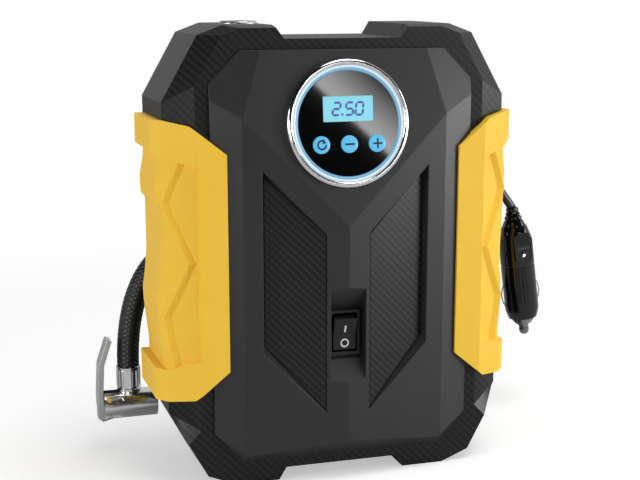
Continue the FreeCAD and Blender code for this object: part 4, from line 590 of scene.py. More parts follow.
# %% Outlet, clips and switch housing
outlet = edged("hose_outlet", 0.5, abs_shell, "outlet_moulding")
clips = edged("back_clips", 0.25, abs_black, "clip_mouldings")
switch = edged("switch_housing", 0.5, abs_black, "switch_frame", segments=3)
print("small mouldings made")

# %% [markdown]
# ## Turned, flat and repeated pieces
# Three small makers serve the rest. One turns a closed profile about an axis, as a lathe would.
# One raises a flat outline to a thin mark. One builds a Geometry Nodes tree that sets copies of a
# shape in a row or a ring and turns the result into a plain mesh.

# %% Turned pieces
def finish_mesh(name, work, matrix, smooth):
    bmesh.ops.remove_doubles(work, verts=work.verts, dist=0.000001)
    bmesh.ops.recalc_face_normals(work, faces=work.faces)
    work.transform(matrix)
    mesh = bpy.data.meshes.new(name)
    work.to_mesh(mesh)
    work.free()
    mesh.shade_smooth()
    mesh.set_sharp_from_angle(angle=math.radians(smooth))
    return mesh


def turned(name, profile, body, material, matrix, around=64, smooth=32):
    """A piece of revolution about the matrix's Z from (radius, height) corners in mm."""
    work = bmesh.new()
    rings = []
    for i in range(around):
        angle = math.tau * i / around
        rings.append([work.verts.new((r * MM * math.cos(angle), r * MM * math.sin(angle), h * MM))
                      for r, h in profile])
    for i in range(around):
        here, following = rings[i], rings[(i + 1) % around]
        for j in range(len(profile)):
            k = (j + 1) % len(profile)
            if profile[j][0] == 0 and profile[k][0] == 0:
                continue
            work.faces.new((here[j], following[j], following[k], here[k]))
    bmesh.ops.remove_doubles(work, verts=work.verts, dist=0.000001)
    bmesh.ops.dissolve_degenerate(work, edges=work.edges, dist=0.0000005)
    return add_piece(name, finish_mesh(name, work, matrix, smooth), body, material)


def raise_outline(work, outline, low, high):
    """Add a straight-sided solid over a flat outline, from low to high along Z."""
    under = [work.verts.new((x * MM, y * MM, low * MM)) for x, y in outline]
    over = [work.verts.new((x * MM, y * MM, high * MM)) for x, y in outline]
    work.faces.new(under[::-1])
    work.faces.new(over)
    for i in range(len(outline)):
        k = (i + 1) % len(outline)
        work.faces.new((under[i], under[k], over[k], over[i]))


def raised(name, outlines, low, high, body, material, matrix, round_edge=0.0):
    """Flat outlines in the matrix's XY plane, each raised from low to high along its Z."""
    work = bmesh.new()
    for outline in outlines:
        raise_outline(work, outline, low, high)
    if round_edge:
        bmesh.ops.bevel(work, geom=[edge for edge in work.edges], offset=round_edge * MM,
                        segments=2, affect="EDGES", clamp_overlap=True)
    return add_piece(name, finish_mesh(name, work, matrix, 32), body, material)


def turned_to(across, upward, outward):
    """The rotation whose X, Y and Z are the three directions."""
    return Matrix((across, upward, outward)).transposed().to_4x4()


def facing(origin, up, outward):
    """A matrix whose Z points outward and whose Y points up, at a place."""
    outward = Vector(outward).normalized()
    across = Vector(up).cross(outward).normalized()
    upward = outward.cross(across)
    return Matrix.Translation(place(*origin)) @ turned_to(across, upward, outward)


# %% [markdown]
# A repeating tree has named inputs for its sizes: how many copies, how far apart, and the ring's
# radius, or the points and the scale. Copies in a ring turn with it. Every tree ends in Realize
# Instances and Set Material, so that nothing depends on instances later.

# %% Repeating with Geometry Nodes
ROW_AND_RING = (("Count", "Int", 6), ("Spacing", "Float", 0.001), ("Ring Radius", "Float", 0.005))
GIVEN_POINTS = (("Points", "Geometry", None), ("Scale", "Float", 1.0))


def in_a_row(tree, sizes):
    step = add(tree, "ShaderNodeCombineXYZ", links={"Y": sizes["Spacing"]})
    points = add(tree, "GeometryNodeMeshLine",
                 links={"Count": sizes["Count"], "Offset": step.outputs[0]})
    return {"Points": points.outputs[0]}


def in_a_ring(tree, sizes):
    points = add(tree, "GeometryNodeMeshCircle",
                 links={"Vertices": sizes["Count"], "Radius": sizes["Ring Radius"]})
    share = maths(tree, "DIVIDE", add(tree, "GeometryNodeInputIndex").outputs[0], sizes["Count"])
    turn = add(tree, "ShaderNodeCombineXYZ", links={"Z": maths(tree, "MULTIPLY", share, math.tau)})
    return {"Points": points.outputs[0], "Rotation": turn.outputs[0]}


def on_given_points(tree, sizes):
    return {"Points": sizes["Points"], "Scale": sizes["Scale"]}


def copies(name, shape, material, body, inputs, arrange, sizes, points, matrix):
    """Build a repeating tree, run it on a holder, and keep the result as one plain piece."""
    tree = bpy.data.node_groups.new(name + "_tree", "GeometryNodeTree")
    for label, kind, value in inputs:
        item = tree.interface.new_socket(label, in_out="INPUT", socket_type="NodeSocket" + kind)
        if value is not None:
            item.default_value = value
    tree.interface.new_socket("Mesh", in_out="OUTPUT", socket_type="NodeSocketGeometry")
    source = add(tree, "GeometryNodeObjectInfo", {"Object": shape})
    arranged = arrange(tree, add(tree, "NodeGroupInput").outputs)
    spread = add(tree, "GeometryNodeInstanceOnPoints",
                 links={"Instance": source.outputs["Geometry"], **arranged})
    real = add(tree, "GeometryNodeRealizeInstances", links={0: spread.outputs[0]})
    paint = add(tree, "GeometryNodeSetMaterial", {"Material": material}, {0: real.outputs[0]})
    add(tree, "NodeGroupOutput", links={0: paint.outputs[0]})
    holder = new_object(name + "_holder", points)
    modifier = holder.modifiers.new("copies", "NODES")
    modifier.node_group = tree
    for item in tree.interface.items_tree:
        if item.in_out == "INPUT" and item.name in sizes:
            modifier[item.identifier] = sizes[item.name]
    mesh = evaluated_copy(holder)
    mesh.name = name
    mesh.transform(matrix)
    bpy.data.objects.remove(holder)
    bpy.data.objects.remove(shape)
    print(name, len(mesh.polygons), "faces")
    return add_piece(name, mesh, body, material, 35)


def repeated(name, shape, material, matrix, body, count, spacing=0.0, ring=None):
    """Copies of a shape in a row, or in a ring where its radius is given."""
    sizes = {"Count": count, "Spacing": spacing * MM, "Ring Radius": (ring or 0.0) * MM}
    return copies(name, shape, material, body, ROW_AND_RING,
                  in_a_row if ring is None else in_a_ring, sizes,
                  bpy.data.meshes.new(name + "_empty"), matrix)


def scatter(name, shape, spots, material, body):
    """A copy of a shape on every spot."""
    points = bpy.data.meshes.new(name + "_points")
    points.from_pydata([place(*spot) for spot in spots], [], [])
    return copies(name, shape, material, body, GIVEN_POINTS, on_given_points, {"Scale": 1.0},
                  points, Matrix.Identity(4))


def seed_shape(name, size, round_edge):
    """A small rounded block to be repeated, not shown by itself."""
    work = bmesh.new()
    bmesh.ops.create_cube(work, size=1.0)
    bmesh.ops.scale(work, vec=Vector(size) * MM, verts=work.verts)
    bmesh.ops.bevel(work, geom=list(work.edges), offset=round_edge * MM, segments=2,
                    affect="EDGES", clamp_overlap=True)
    mesh = bpy.data.meshes.new(name)
    work.to_mesh(mesh)
    work.free()
    return new_object(name, mesh)


# %% [markdown]
# ## Gauge
# The gauge faces the user square to the panel's upper facet. It is a chrome ring pressed round an
# edge-lit ring, a glass printed black on its back with a clear window, a lit display behind the
# window, and three keys that stand a millimetre out of the glass.

# %% Gauge rings and glass
GAUGE_HEIGHT = 162.0
FACET_FOOT = (-10.0, 117.3)      # depth and height where the upper facet starts
GAUGE_TILT = math.atan(4.7 / 47.9)
GAUGE_DEPTH = FACET_FOOT[0] + math.tan(GAUGE_TILT) * (GAUGE_HEIGHT - FACET_FOOT[1])
gauge = (Matrix.Translation(place(0, GAUGE_DEPTH, GAUGE_HEIGHT))
         @ Matrix.Rotation(math.pi / 2 - GAUGE_TILT, 4, "X"))
bezel = turned("gauge_ring_chrome", [
    (25.25, 0.0), (27.75, 0.0), (27.8, 1.9), (27.65, 2.6), (27.3, 3.05), (26.8, 3.3), (26.3, 3.4),
    (25.8, 3.3), (25.45, 3.0), (25.25, 2.5)], "case", chrome, gauge, 128, 50)
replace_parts(bezel, "gauge_bezel")
ring_white = turned("gauge_light_outer", [
    (24.1, 0.9), (24.1, 0.0), (25.1, 0.0), (25.1, 2.5), (24.85, 2.85), (24.4, 2.85), (24.1, 2.6)],
    "case", glow_white, gauge, 128, 50)
ring_blue = turned("gauge_light_inner", [
    (21.9, 0.0), (24.1, 0.0), (24.1, 2.6), (23.9, 2.7), (23.2, 2.55), (22.95, 2.2),
    (22.95, 0.85), (21.9, 0.85)], "case", glow_ring, gauge, 128, 50)
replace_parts(ring_white, "gauge_light_ring")
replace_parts(ring_blue, "gauge_light_ring")
print("gauge rings made")

# %% [markdown]
# The glass is a disc with three round holes for the keys and a rectangular window. The window is
# cut through the black print, and the display's lit face stands just behind it.

# %% Gauge glass
KEY_PITCH = 12.7
KEY_DROP = -8.8
KEY_RADIUS = 3.75
KEY_GAP = 0.08           # between a key and its hole
LCD_LIFT = 6.4
LCD_SIZE = (22.9, 10.9)
LCD_GAP = 0.1            # the window is larger than the display by this
keys = {"reset": (-KEY_PITCH, KEY_DROP), "minus": (0.0, KEY_DROP), "plus": (KEY_PITCH, KEY_DROP)}


def bored(mesh, tools, name):
    """A mesh with each tool mesh cut out of it."""
    target = new_object(name, mesh)
    cutters = []
    for index, tool in enumerate(tools):
        cutter = new_object(f"{name}_cutter{index}", tool)
        cutters.append(cutter)
        boolean = target.modifiers.new("cut", "BOOLEAN")
        boolean.operation = "DIFFERENCE"
        boolean.solver = "EXACT"
        boolean.object = cutter
    result = evaluated_copy(target)
    for item in [target] + cutters:
        bpy.data.objects.remove(item)
    return result


def prism(outline, low, high, matrix):
    """A closed straight-sided mesh, used as a cutter."""
    work = bmesh.new()
    raise_outline(work, outline, low, high)
    return finish_mesh("cutter", work, matrix, 30)


def rounded(wide, high, radius, centre=(0.0, 0.0), per_corner=5):
    """The outline of a rectangle with round corners."""
    points = []
    for turn, (sx, sy) in enumerate(((1, 1), (-1, 1), (-1, -1), (1, -1))):
        for i in range(per_corner + 1):
            angle = math.radians(90 * turn + 90 * i / per_corner)
            points.append((centre[0] + sx * (wide / 2 - radius) + radius * math.cos(angle),
                           centre[1] + sy * (high / 2 - radius) + radius * math.sin(angle)))
    return points


def circle(radius, centre=(0.0, 0.0), count=48):
    return [(centre[0] + radius * math.cos(math.tau * i / count),
             centre[1] + radius * math.sin(math.tau * i / count)) for i in range(count)]


disc = prism(circle(22.75, count=128), 0.9, 2.4, Matrix.Identity(4))
holes = [circle(KEY_RADIUS + KEY_GAP, centre, 64) for centre in keys.values()]
holes.append(rounded(*(size + LCD_GAP for size in LCD_SIZE), 0.5, (0.0, LCD_LIFT)))
tools = [prism(hole, 0.0, 4.0, Matrix.Identity(4)) for hole in holes]
glass_mesh = bored(disc, tools, "gauge_glass_blank")
glass_mesh.transform(gauge)
glass = add_piece("gauge_glass_printed", glass_mesh, "case", panel_glass, 30)
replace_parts(glass, "gauge_glass")
print("glass faces", len(glass_mesh.polygons))

# %% [markdown]
# The display is a reflective cell with a pale backlight. Its digits are the usual seven slanted
# segments, and they show a pressure. The segments are thin tiles, as an etched electrode is.

# %% Display and digits
lcd = raised("display_cell", [rounded(*LCD_SIZE, 0.5, (0.0, LCD_LIFT))], -2.1, 2.1, "case",
             backlight, gauge)
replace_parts(lcd, "lcd_module")
SEGMENTS = {"2": "abged", "5": "afgcd", "0": "abcdef"}
DIGIT_HIGH = 5.3
DIGIT_WIDE = 3.3
STROKE = 0.95
JOINT_GAP = 0.14         # a segment stops this far before the joint
SLANT = 0.13             # the digits lean by this share of their height


def segment(start, end):
    """A six-cornered bar from one joint to the next."""
    start, end = Vector(start), Vector(end)
    along = (end - start).normalized()
    side = Vector((-along.y, along.x)) * STROKE / 2
    near, far = start + along * JOINT_GAP, end - along * JOINT_GAP
    shoulder = along * STROKE / 2
    corners = (near, near + shoulder + side, far - shoulder + side, far,
               far - shoulder - side, near + shoulder - side)
    return [(p.x + SLANT * p.y, p.y) for p in corners]


def digit(symbol, left):
    top, middle, low = DIGIT_HIGH, DIGIT_HIGH / 2, 0.0
    right = left + DIGIT_WIDE
    joints = {"a": ((left, top), (right, top)), "b": ((right, top), (right, middle)),
              "c": ((right, middle), (right, low)), "d": ((left, low), (right, low)),
              "e": ((left, middle), (left, low)), "f": ((left, top), (left, middle)),
              "g": ((left, middle), (right, middle))}
    return [segment(*joints[name]) for name in SEGMENTS[symbol]]


tiles = []
for symbol, left in (("2", -7.3), ("5", -1.4), ("0", 3.1)):
    tiles += digit(symbol, left)
tiles.append(rounded(1.0, 1.0, 0.1, (-2.75, 0.25), 2))
lift = Matrix.Translation((0, (LCD_LIFT - DIGIT_HIGH / 2) * MM, 0))
digits = raised("display_digits", tiles, 2.1, 2.16, "case", digit_ink, gauge @ lift)
print(len(tiles), "display tiles")

# %% [markdown]
# The keys are domed caps. Their marks are printed: a turning arrow for reset, a minus and a plus.

# %% Keys and their marks
def arrow_outlines():
    """An open ring with an arrow head at its end."""
    outer, inner = 2.25, 1.45
    angles = [math.radians(a) for a in range(75, 361, 15)]
    ring = [(outer * math.cos(a), outer * math.sin(a)) for a in angles]
    ring += [(inner * math.cos(a), inner * math.sin(a)) for a in reversed(angles)]
    root = math.radians(76)
    point = root - 1.0
    head = [((outer + 0.7) * math.cos(root), (outer + 0.7) * math.sin(root)),
            ((inner - 0.9) * math.cos(root), (inner - 0.9) * math.sin(root)),
            (2.0 * math.cos(point), 2.0 * math.sin(point))]
    return [ring, head[::-1]]


MARKS = {
    "reset": arrow_outlines(),
    "minus": [[(-2.2, -0.42), (2.2, -0.42), (2.2, 0.42), (-2.2, 0.42)]],
    "plus": [[(-2.2, -0.4), (-0.4, -0.4), (-0.4, -2.2), (0.4, -2.2), (0.4, -0.4), (2.2, -0.4),
              (2.2, 0.4), (0.4, 0.4), (0.4, 2.2), (-0.4, 2.2), (-0.4, 0.4), (-2.2, 0.4)]],
}
for key, (x, y) in keys.items():
    spot = gauge @ Matrix.Translation((x * MM, y * MM, 0))
    cap = turned(f"key_cap_{key}", [
        (0.0, -4.4), (1.4, -4.4), (1.4, -0.4), (5.0, -0.4), (5.0, 0.6), (KEY_RADIUS, 0.6),
        (KEY_RADIUS, 3.0), (3.6, 3.25), (3.3, 3.36), (2.0, 3.4), (0.0, 3.4)],
                 f"key_{key}", key_blue, spot, 48, 35)
    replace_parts(cap, f"button_{key}")
    raised(f"key_mark_{key}", MARKS[key], 3.38, 3.43, f"key_{key}", key_mark, spot)
print("keys made")

# %% [markdown]
# ## Rocker switch
# The rocker is one moulding with two faces at a shallow angle. Pressed in below, it is off. Its
# two marks are white and lie in the faces.

# %% Rocker and marks
ROCKER_TILT = math.radians(10)
ROCKER_PIVOT = (0, -0.6, 68)
FACE_RISE, FACE_HIGH = 1.33, 7.4     # how far each face leans out over its height
rocker = edged("switch_rocker", 0.55, abs_black, "rocker_cap", segments=3, angle=15, smooth=60)
rocker_pivot = Matrix.Translation(place(*ROCKER_PIVOT)) @ Matrix.Rotation(ROCKER_TILT, 4, "X")


def on_rocker(slope, up):
    """The frame of a point on the rocker's upper (slope 1) or lower (slope -1) face."""
    climb = Vector((0, -FACE_RISE * slope, FACE_HIGH)).normalized()
    outward = Vector((0, -FACE_HIGH, -FACE_RISE * slope)).normalized()
    spot = (Vector((0, -3.0, 0)) + climb * up) * MM
    return (rocker_pivot @ Matrix.Translation(spot)
            @ turned_to(climb.cross(outward), climb, outward))


raised("rocker_mark_on", [[(-0.42, -1.75), (0.42, -1.75), (0.42, 1.75), (-0.42, 1.75)]],
       -0.1, 0.04, "rocker", mark_white, on_rocker(1, 2.6))
turned("rocker_mark_off", [(1.35, -0.1), (2.0, -0.1), (2.0, 0.04), (1.35, 0.04)], "rocker",
       mark_white, on_rocker(-1, -4.3), 48)
print("rocker made")

# %% [markdown]
# ## Lamp
# A small work lamp sits in the left shoulder: a satin metal ring, a smoked lens, a bright bowl
# and a board with one light-emitting diode.

# %% Lamp ring
LAMP = Matrix.Translation(place(-39, 31, 204))
lamp_ring = turned("lamp_ring_chrome", [
    (7.0, -2.5), (7.2, -2.5), (7.2, 0.0), (8.5, 0.0), (8.5, 0.55), (8.2, 0.95), (7.7, 1.18),
    (7.25, 1.2), (7.0, 1.0)], "case", lever_metal, LAMP, 64, 50)
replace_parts(lamp_ring, "lamp_bezel")
print("lamp ring made")

# %% [markdown]
# ## Hose end
# The hose is crimped in a chrome sleeve with upright flutes. Below it a turned brass body, also
# chromed, takes the tyre valve from the right. A lever on a cross pin clamps it.

# %% Crimped ferrule
HOSE_DROP = HOSE_POINTS[-1][0]   # where the hose hangs, across
ferrule_foot = Matrix.Translation(place(HOSE_DROP, HOSE_DEPTH, 30.0))
ferrule = turned("ferrule_sleeve", [
    (0.0, 0.0), (5.5, 0.0), (5.85, 0.3), (5.85, 1.1), (5.3, 1.5), (5.3, 10.6), (5.85, 10.9),
    (5.85, 11.7), (5.6, 12.0), (0.0, 12.0)], "case", chrome, ferrule_foot, 64)
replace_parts(ferrule, "hose_ferrule")
flute = seed_shape("flute_shape", (1.5, 1.55, 9.2), 0.55)
repeated("ferrule_flutes", flute, chrome, ferrule_foot @ Matrix.Translation((0, 0, 6.05 * MM)),
         "case", 14, ring=5.1)

# %% [markdown]
# The chuck's body keeps the solid's shape, with soft edges. An oval opening near its end shows
# the clamping cam, and a slot runs out of its lower edge.

# %% Chuck body
def merged(node):
    """A cleaned copy of a solid's mesh, in triangles."""
    mesh, work = cleaned(node)
    bmesh.ops.triangulate(work, faces=work.faces)
    work.to_mesh(mesh)
    work.free()
    return mesh


window = facing((-94.0, HOSE_DEPTH, 26.6), (0, 0, 1), (0, -1, 0))
slot = facing((-96.5, HOSE_DEPTH, 17.9), (0, 0, 1), (0, -1, 0))
chuck_mesh = bored(merged("chuck_body"), [
    prism([(x * 1.0, y * 0.55) for x, y in circle(3.1, count=40)], 3.6, 9.0, window),
    prism(rounded(10.0, 1.7, 0.84), 2.9, 9.0, slot)], "chuck_blank")
chuck = add_piece("chuck_chrome", chuck_mesh, "case", satin_chrome, 35)
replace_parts(chuck, "chuck_body")
soften(chuck, 0.25, 2, 40)
lever = edged("chuck_lever", 0.35, lever_metal, "lever_strip", segments=3)
print("chuck faces", len(chuck_mesh.polygons))

# %% [markdown]
# ## Adapter plug
# The plug is two moulded halves in gloss black, with a tapered cord boot, a slim barrel, a raised
# pad with grip ribs and a pilot light, a collar and a sprung tip. Two thin springs bow out
# at its sides and hold it in the socket. The collar and the tip are nickel plated. Everything on
# it is drawn along the plug's own axis.

# %% Plug barrel and boot
PLUG_TILT = math.radians(8)
plug = (Matrix.Translation(place(*CORD_TO_PLUG[-1]))
        @ Matrix.Rotation(math.pi - PLUG_TILT, 4, "Y"))
boot = turned("plug_cord_boot", [
    (2.3, 0.0), (3.1, 0.0), (3.3, 0.6), (3.3, 1.4), (2.9, 1.9), (3.5, 2.3), (3.9, 3.4), (3.3, 4.0),
    (4.3, 4.5), (4.6, 5.6), (3.8, 6.2), (4.9, 6.7), (5.5, 8.0), (5.9, 9.0), (2.3, 9.0)],
    "case", gloss_black, plug, 48, 40)
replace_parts(boot, "plug_boot")
barrel = turned("plug_barrel", [
    (3.4, 9.0), (5.9, 9.0), (6.6, 9.9), (8.5, 15.6), (8.9, 17.4), (8.9, 30.0), (8.7, 30.3),
    (8.7, 31.0), (8.9, 31.3), (8.9, 54.6), (8.6, 56.0), (7.5, 59.6), (3.4, 59.6)],
    "case", gloss_black, plug, 72, 28)
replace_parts(barrel, "plug_shell")
print("plug barrel made")

# %% Pad, ribs and pilot light
def pad_frame(down, reach):
    """A frame at a distance down the plug and a reach towards the user."""
    down_axis = (plug.to_3x3() @ Vector((0, 0, 1))).normalized()
    spot = plug @ Vector((0, 0, down * MM)) + Vector((0, -reach * MM, 0))
    outward = Vector((0, -1, 0))
    upward = -down_axis
    across = upward.cross(outward).normalized()
    return Matrix.Translation(spot) @ turned_to(across, upward, outward)


raised("plug_pad", [rounded(9.6, 17.0, 3.6)], 0.0, 2.6, "case", gloss_black,
       pad_frame(20.4, 6.7), 0.35)
rib = seed_shape("rib_shape", (7.4, 0.5, 0.7), 0.16)
repeated("plug_ribs", rib, gloss_black, pad_frame(18.0, 9.35), "case", 5, spacing=1.1)
rail = seed_shape("rail_shape", (0.9, 19.0, 1.0), 0.4)
across_barrel = pad_frame(41.0, 8.6) @ Matrix.Rotation(math.pi / 2, 4, "Z")
rail.data.transform(Matrix.Rotation(math.pi / 2, 4, "Z"))
repeated("plug_rails", rail, gloss_black, across_barrel, "case", 4, spacing=1.9)
# A thin matt sheet stands for the slot below the ribs; its dark line is painted shade, not a cut.
raised("plug_pad_slot", [rounded(7.0, 1.3, 0.4)], 0.0, 0.12, "case", rubber, pad_frame(20.3, 9.3))
turned("plug_pilot_light", [(0.0, 0.0), (0.7, 0.0), (0.65, 0.25), (0.35, 0.42), (0.0, 0.48)],
       "case", led_white, pad_frame(24.0, 9.3), 24)
turned("plug_pilot_ring", [(0.8, 0.0), (1.8, 0.0), (1.8, 0.22), (1.6, 0.3), (0.8, 0.12)],
       "case", abs_black, pad_frame(24.0, 9.3), 32)
print("plug pad made")

# %% [markdown]
# The side springs are thin steel wires, each a long bow from one slot to the next.

# %% Side springs, collar and tip
BOW_STEPS = 24
BOW_FOOT, BOW_OUT = 8.7, 2.15        # where the bow starts, and how far it stands out
BOW_START, BOW_LONG = 39.0, 14.5     # along the plug
for side in (-1, 1):
    bow = [(side * (BOW_FOOT + BOW_OUT * math.sin(math.pi * i / BOW_STEPS)), 0.0,
            BOW_START + BOW_LONG * i / BOW_STEPS) for i in range(BOW_STEPS + 1)]
    bow = [(side * 7.6, 0.0, 38.6)] + bow + [(side * 7.6, 0.0, 53.9)]
    bow_line = np.array([plug @ (Vector(p) * MM) for p in bow])
    wire = tube_mesh(f"plug_side_spring_{'right' if side > 0 else 'left'}", bow_line,
                     0.33 * MM, 10)
    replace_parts(add_piece(wire.name, wire, "case", steel), "plug_contacts")
collar = turned("plug_collar_chrome", [
    (2.75, 59.6), (5.6, 59.6), (5.6, 61.4), (5.35, 61.7), (4.6, 61.9), (4.6, 62.7), (4.4, 63.0),
    (2.75, 63.0)], "case", nickel, plug, 64)
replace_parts(collar, "plug_collar")
tip = turned("plug_tip_pin", [
    (0.0, 56.1), (3.25, 56.1), (3.25, 59.3), (2.7, 59.3), (2.7, 64.8), (2.4, 65.1), (2.4, 65.6),
    (2.7, 65.9), (2.7, 67.1), (2.4, 68.2), (1.8, 69.0), (1.0, 69.4), (0.0, 69.5)],
    "tip", nickel, plug, 48, 40)
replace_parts(tip, "plug_tip")
print("plug metal made")

# %% [markdown]
# ## Cord fittings
# The strain relief is a soft ringed cone that spreads the bend of the cord. The coil is held by a
# hook-and-loop strap: a flat band round the bundle with its end lying back over it.

# %% Strain relief
RELIEF = (Matrix.Translation(place(40, REAR_FACE, 62)) @ Matrix.Rotation(-math.pi / 2, 4, "X"))
relief_profile = [(2.3, -5.0), (5.2, -5.0), (5.2, -3.0), (3.3, -3.0), (3.3, 0.0), (4.6, 0.0)]
for ring in range(5):
    level = 1.2 + 2.1 * ring
    reach = 4.45 - 0.26 * (level + 1.0)
    relief_profile += [(reach, level), (reach - 0.75, level + 0.3), (reach - 0.8, level + 0.8),
                       (reach - 0.1, level + 1.1)]
relief_profile += [(3.2, 11.0), (2.9, 11.5), (2.3, 11.5)]
relief = turned("strain_relief_rings", relief_profile, "case", rubber, RELIEF, 48)
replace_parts(relief, "strain_relief")
print("strain relief made")


# %% Coil strap
STRAP_ROWS = 56
LAP_ROW, LAP_LONG = 44, 5            # the row where the end starts to lie over, and its ramp


def strap_mesh(wide, thick, inner):
    """A band round the coil's bundle; it lies flat where the bundle rests on the floor."""
    work = bmesh.new()
    centre = Vector((COIL_CENTRE[0], COIL_CENTRE[1] + COIL_RING, COIL_CENTRE[2]))
    rows = []
    for i in range(STRAP_ROWS + 1):
        angle = math.radians(-60 + 420 * i / STRAP_ROWS)
        lap = thick * 1.02 * min(max((i - LAP_ROW) / LAP_LONG, 0), 1)
        row = []
        for x, reach in ((-wide / 2, inner), (wide / 2, inner), (wide / 2, inner + thick),
                         (-wide / 2, inner + thick)):
            far = reach + lap
            height = max(centre.z + far * math.sin(angle), (reach - inner) * 0.3 + 0.05)
            row.append(work.verts.new(place(centre.x + x, centre.y + far * math.cos(angle),
                                            height)))
        rows.append(row)
    for here, following in zip(rows, rows[1:]):
        for j in range(4):
            k = (j + 1) % 4
            work.faces.new((here[j], here[k], following[k], following[j]))
    work.faces.new(rows[0][::-1])
    work.faces.new(rows[-1])
    return finish_mesh("coil_strap", work, Matrix.Identity(4), 40)


strap = add_piece("coil_strap", strap_mesh(12.0, 0.9, 10.45), "case", strap_weave)
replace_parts(strap, "coil_tie")
print("strap faces", len(strap.data.polygons))

# %% [markdown]
# ## Screws
# Six long screws close the case from the back, and two short ones hold the pump. Each has a pan
# head with a cross recess. One head is cut from a cylinder, and a Geometry Nodes tree sets it on
# a point for every screw, with its shank.

# %% Screw heads and shanks
SCREWS = [(x, 46.0, z) for x in (-69, 69) for z in (38, 100, 160)]
PUMP_SCREWS = [(x, 22.8, 76) for x in (-53.5, 21.5)]
HEAD_RADIUS, HEAD_HIGH = 2.75, 2.1
THREAD_STEP = 0.5
THREAD_CREST, THREAD_ROOT = 1.5, 1.25
AROUND = 16              # corners around a shank


def screw_shape(name, shank, outward):
    """One screw with its head's top at the origin, pointing along Y."""
    turn = Matrix.Rotation(math.radians(-90 * outward), 4, "X")
    head = prism(circle(HEAD_RADIUS, count=40), -HEAD_HIGH, 0.0, Matrix.Identity(4))
    cross = [prism(rounded(3.4, 0.7, 0.2), -1.2, 1.0, Matrix.Rotation(math.radians(a), 4, "Z"))
             for a in (10, 100)]
    mesh = bored(head, cross, name)
    work = bmesh.new()
    work.from_mesh(mesh)
    rings = []
    for level in np.arange(-HEAD_HIGH, -shank, -THREAD_STEP):
        reach = THREAD_CREST if int(round(level / THREAD_STEP)) % 2 else THREAD_ROOT
        rings.append([work.verts.new((reach * MM * math.cos(math.tau * i / AROUND),
                                      reach * MM * math.sin(math.tau * i / AROUND), level * MM))
                      for i in range(AROUND)])
    for low, high in zip(rings[1:], rings):
        for i in range(AROUND):
            k = (i + 1) % AROUND
            work.faces.new((low[i], low[k], high[k], high[i]))
    work.faces.new(rings[-1][::-1])
    work.faces.new(rings[0])
    work.transform(turn)
    work.to_mesh(mesh)
    work.free()
    return new_object(name, mesh)


case_screws = scatter("case_screws", screw_shape("case_screw_shape", 40.0, 1), SCREWS, steel,
                      "case")
pump_screws = scatter("pump_screws", screw_shape("pump_screw_shape", 16.0, -1), PUMP_SCREWS, steel,
                      "case")
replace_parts(case_screws, "screws")
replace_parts(pump_screws, "screws")

# %% [markdown]
# ## The parts inside
# The pump, motor, gears and boards keep their solids. Each gets the finish of its material.

# %% Finishes of the inner solids
INNER = {
    "chuck_seal": rubber, "crank_bearing": steel, "crank_wheel": nylon, "cylinder": alloy,
    "cylinder_head": alloy, "fan": abs_black, "gauge_board": solder_mask,
    "gauge_housing": abs_black, "lamp_board": solder_mask, "lamp_lens": lens_clear,
    "lamp_reflector": reflector, "lever_pin": steel, "motor_can": steel,
    "motor_end_cap": abs_black, "motor_rotor": laminated_iron, "pinion": brass,
    "piston_cup": rubber, "piston_rod": alloy, "plug_fuse": fuse_glass, "plug_spring": steel,
    "pump_frame": alloy, "pump_sleeves": rubber, "sensor_tube": silicone, "air_tube": silicone,
    "switch_terminals": brass, "valve_plate": steel,
}
for node, material in INNER.items():
    solid = frame["nodes"][node]
    for slot_index in range(len(solid.material_slots)):
        solid.material_slots[slot_index].material = material
print(len(INNER), "inner solids finished")

# %% [markdown]
# ## Studio
# A plain white floor and soft light. Near the object the floor is matt and lit; farther away it
# turns to plain white, and past its edge the world is white too. Only the camera sees that white:
# other rays meet a matt floor and a dim world, which fills the shadows. Mirror-like surfaces meet
# a room that is dark in front and bright behind, with a black card on the upper left.

# %% Floor and world
def mixed(owner, share, first, second):
    """A mix of two shaders; the share is that of the second."""
    return add(owner, "ShaderNodeMixShader", links={0: share, 1: first, 2: second}).outputs[0]


def shown(owner, kind, hidden, seen):
    """End a tree: one shader for the camera, also through clear pieces, one for other rays."""
    ray = add(owner, "ShaderNodeLightPath").outputs
    share = maths(owner, "MAXIMUM", ray["Is Camera Ray"], ray["Is Transmission Ray"])
    add(owner, kind, links={0: mixed(owner, share, hidden, seen)})


FLOOR_HALF = 6           # metres, as everything in the studio
WHITE_STARTS, WHITE_FULL = 0.28, 0.6     # distances at which the floor turns white
floor_mesh = bpy.data.meshes.new("studio_floor")
floor_mesh.from_pydata([(x * FLOOR_HALF, y * FLOOR_HALF, 0)
                        for x, y in ((-1, -1), (1, -1), (1, 1), (-1, 1))], [], [(0, 1, 2, 3)])
floor = new_object("studio_floor", floor_mesh)
floor_paint = bpy.data.materials.new("floor_white")
floor_paint.use_nodes = True
floor_paint.node_tree.nodes.clear()
matt = add(floor_paint, "ShaderNodeBsdfDiffuse", {"Color": linear("#dcdcdc")})
shine = add(floor_paint, "ShaderNodeEmission", {"Color": linear("#ffffff"), "Strength": 0.45})
both = add(floor_paint, "ShaderNodeAddShader", links={0: matt.outputs[0], 1: shine.outputs[0]})
far_white = add(floor_paint, "ShaderNodeEmission", {"Color": linear("#ffffff"), "Strength": 1.0})
where = add(floor_paint, "ShaderNodeTexCoord").outputs["Object"]
away = add(floor_paint, "ShaderNodeVectorMath", links={0: where}, operation="LENGTH")
far = add(floor_paint, "ShaderNodeMapRange", {"From Min": WHITE_STARTS, "From Max": WHITE_FULL},
          {"Value": away.outputs["Value"]}, interpolation_type="SMOOTHSTEP")
near = mixed(floor_paint, far.outputs[0], both.outputs[0], far_white.outputs[0])
shown(floor_paint, "ShaderNodeOutputMaterial", matt.outputs[0], near)
floor_mesh.materials.append(floor_paint)

